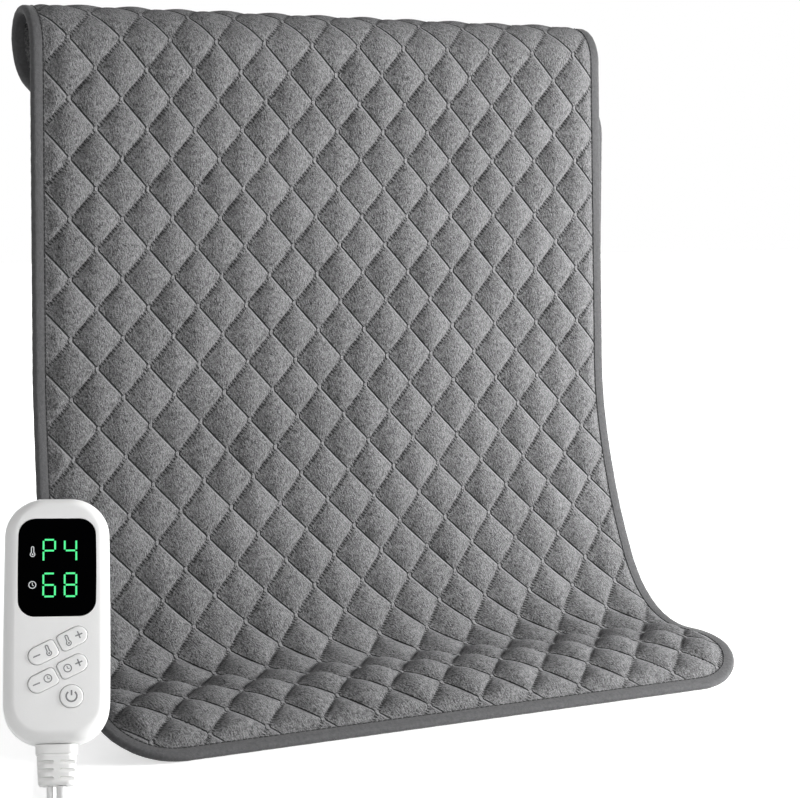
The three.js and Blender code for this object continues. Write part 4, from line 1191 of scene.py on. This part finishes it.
DIGIT_HALF, DIGIT_STROKE, DIGIT_THICK = 2.15, 0.66, 0.03
READOUT = (
    ("upper_left", "P", -2.95, 25.3, 4.2),
    ("upper_right", "4", 4.95, 25.3, 4.2),
    ("lower_left", "6", -2.95, 12.05, 4.4),
    ("lower_right", "8", 4.95, 12.05, 4.4),
)
for digit_name, character, x, y, half_high in READOUT:
    glyph = digit(character, DIGIT_HALF, half_high, DIGIT_STROKE)
    lit = print_on(f"digit_{digit_name}", glyph, (x, y), 0, GLASS_TOP, DIGIT_THICK, MAT_DIGIT)
    attach(lit, ROOT, "window")
MARK_ACROSS, MARK_STROKE = -9.15, 0.3
MARKS = (
    ("heat_mark", thermometer(2.0, MARK_STROKE), 25.0),
    ("time_mark", clock_face(1.3, MARK_STROKE), 12.15),
)
for mark_name, glyph, y in MARKS:
    mark = print_on(mark_name, glyph, (MARK_ACROSS, y), 0, GLASS_TOP, DIGIT_THICK, MAT_MARK)
    attach(mark, ROOT, "window")


# Sections of the strain relief: place along it and share of its full section, foot first, then the collar.
RELIEF_FOOT = ((0, 0.8), (0.25, 0.84), (0.9, 0.875), (10.2, 0.945), (10.6, 0.94), (10.75, 0.9), (11.25, 0.9))
RELIEF_COLLAR = ((11.4, 0.97), (11.9, 1.0), (14.3, 1.015), (14.7, 1.0))
SLOT_ROWS, SLOT_ACROSS, SLOT_DEEP, SLOT_LONG = (2.2, 5.2, 8.2), 4.6, 2.2, 4.3


def relief_piece():
    """Strain relief: collar, groove and a tapered foot with slots on both faces."""
    rings = []
    for y, scale in RELIEF_FOOT + RELIEF_COLLAR:
        outline = rounded(*(size * scale for size in RELIEF), 9, sides=2)
        rings.append(in_case([(x, y, -z) for x, z in outline]))
    body = loft("relief_boot", rings, MAT_SOFT, 40.0)
    slot_outline = rounded(7.2, 1.5, 0.6, 5, sides=1)
    tools = []
    for y in SLOT_ROWS:
        for x in (-SLOT_ACROSS, SLOT_ACROSS):
            for low in (-SLOT_DEEP - SLOT_LONG, SLOT_DEEP):
                tools.append(prism("slot_cut", at_height(slot_outline, low, x, y), SLOT_LONG))
    boolean(body, tools)
    tidy_shading(body, 35.0)
    attach(body, ROOT, "soft_white", "strain_relief")


relief_piece()


# Floor and light.


FLOOR_HALF = 6.0
FLOOR_GLOW = dict(From_Min=0.25, From_Max=1.0, To_Min=0.55, To_Max=1.0)
WORLD_LEVEL = 0.146
LAMPS = (
    ("key", (0.7, -0.4, 0.26), (0.02, 0.04, 0.13), (0.3, 0.3), 16.2),
    ("fill", (-1.2, -1.6, 0.9), (-0.05, 0.0, 0.12), (1.2, 1.2), 12.4),
    ("top", (0.1, -0.2, 1.6), (0.0, 0.05, 0.1), (1.0, 1.0), 1.1),
    ("back", (0.3, 1.6, 0.5), (0.0, 0.1, 0.16), (1.2, 0.8), 6),
)


def stage_floor():
    """Pale floor that keeps the shadow; to the camera it glows, up to the background's white further out."""
    material, tree, bsdf = shader("pale_floor", (0.8, 0.8, 0.8), 0.6)
    corners = [(x * FLOOR_HALF, y * FLOOR_HALF, 0) for x, y in ((-1, -1), (1, -1), (1, 1), (-1, 1))]
    floor = piece("floor", corners, [(0, 1, 2, 3)], material, scale=1)
    reach = tree.nodes.new("ShaderNodeVectorMath")
    reach.operation = "LENGTH"
    tree.links.new(object_vector(tree), reach.inputs[0])
    rise = add_node(tree, "MapRange", Value=reach.outputs["Value"], **FLOOR_GLOW)
    glow = add_node(tree, "Emission", Strength=rise.outputs["Result"])
    lit = tree.nodes.new("ShaderNodeAddShader")
    tree.links.new(bsdf.outputs["BSDF"], lit.inputs[0])
    tree.links.new(glow.outputs["Emission"], lit.inputs[1])
    show(tree, bsdf, lit, tree.nodes["Material Output"])


def show(tree, plain, background, output):
    """Gives the background's shader to the camera's rays and to those that metal and glass send on."""
    path = tree.nodes.new("ShaderNodeLightPath")
    seen = math_node(tree, "MAXIMUM", path.outputs["Is Camera Ray"], path.outputs["Is Transmission Ray"])
    seen = math_node(tree, "MAXIMUM", seen, path.outputs["Is Glossy Ray"])
    mix = add_node(tree, "MixShader", Fac=seen)
    tree.links.new(plain.outputs[0], mix.inputs[1])
    tree.links.new(background.outputs[0], mix.inputs[2])
    tree.links.new(mix.outputs[0], output.inputs["Surface"])


def area_lamp(name, place, target, size, power):
    data = bpy.data.lights.new(name, "AREA")
    data.shape = "RECTANGLE"
    data.size, data.size_y = size
    data.energy = power
    lamp = bpy.data.objects.new(name, data)
    lamp.location = place
    lamp.rotation_euler = (Vector(target) - Vector(place)).to_track_quat("-Z", "Y").to_euler()
    bpy.context.collection.objects.link(lamp)


def light():
    world = bpy.data.worlds.new("studio")
    bpy.context.scene.world = world
    world.use_nodes = True
    tree = world.node_tree
    tree.nodes.clear()
    soft = add_node(tree, "Background", Color=(1, 1, 1, 1), Strength=WORLD_LEVEL)
    white = add_node(tree, "Background", Color=(1, 1, 1, 1), Strength=1.0)
    show(tree, soft, white, add_node(tree, "OutputWorld"))
    for lamp in LAMPS:
        area_lamp(*lamp)


stage_floor()
light()
bpy.context.scene.view_settings.view_transform = "Standard"
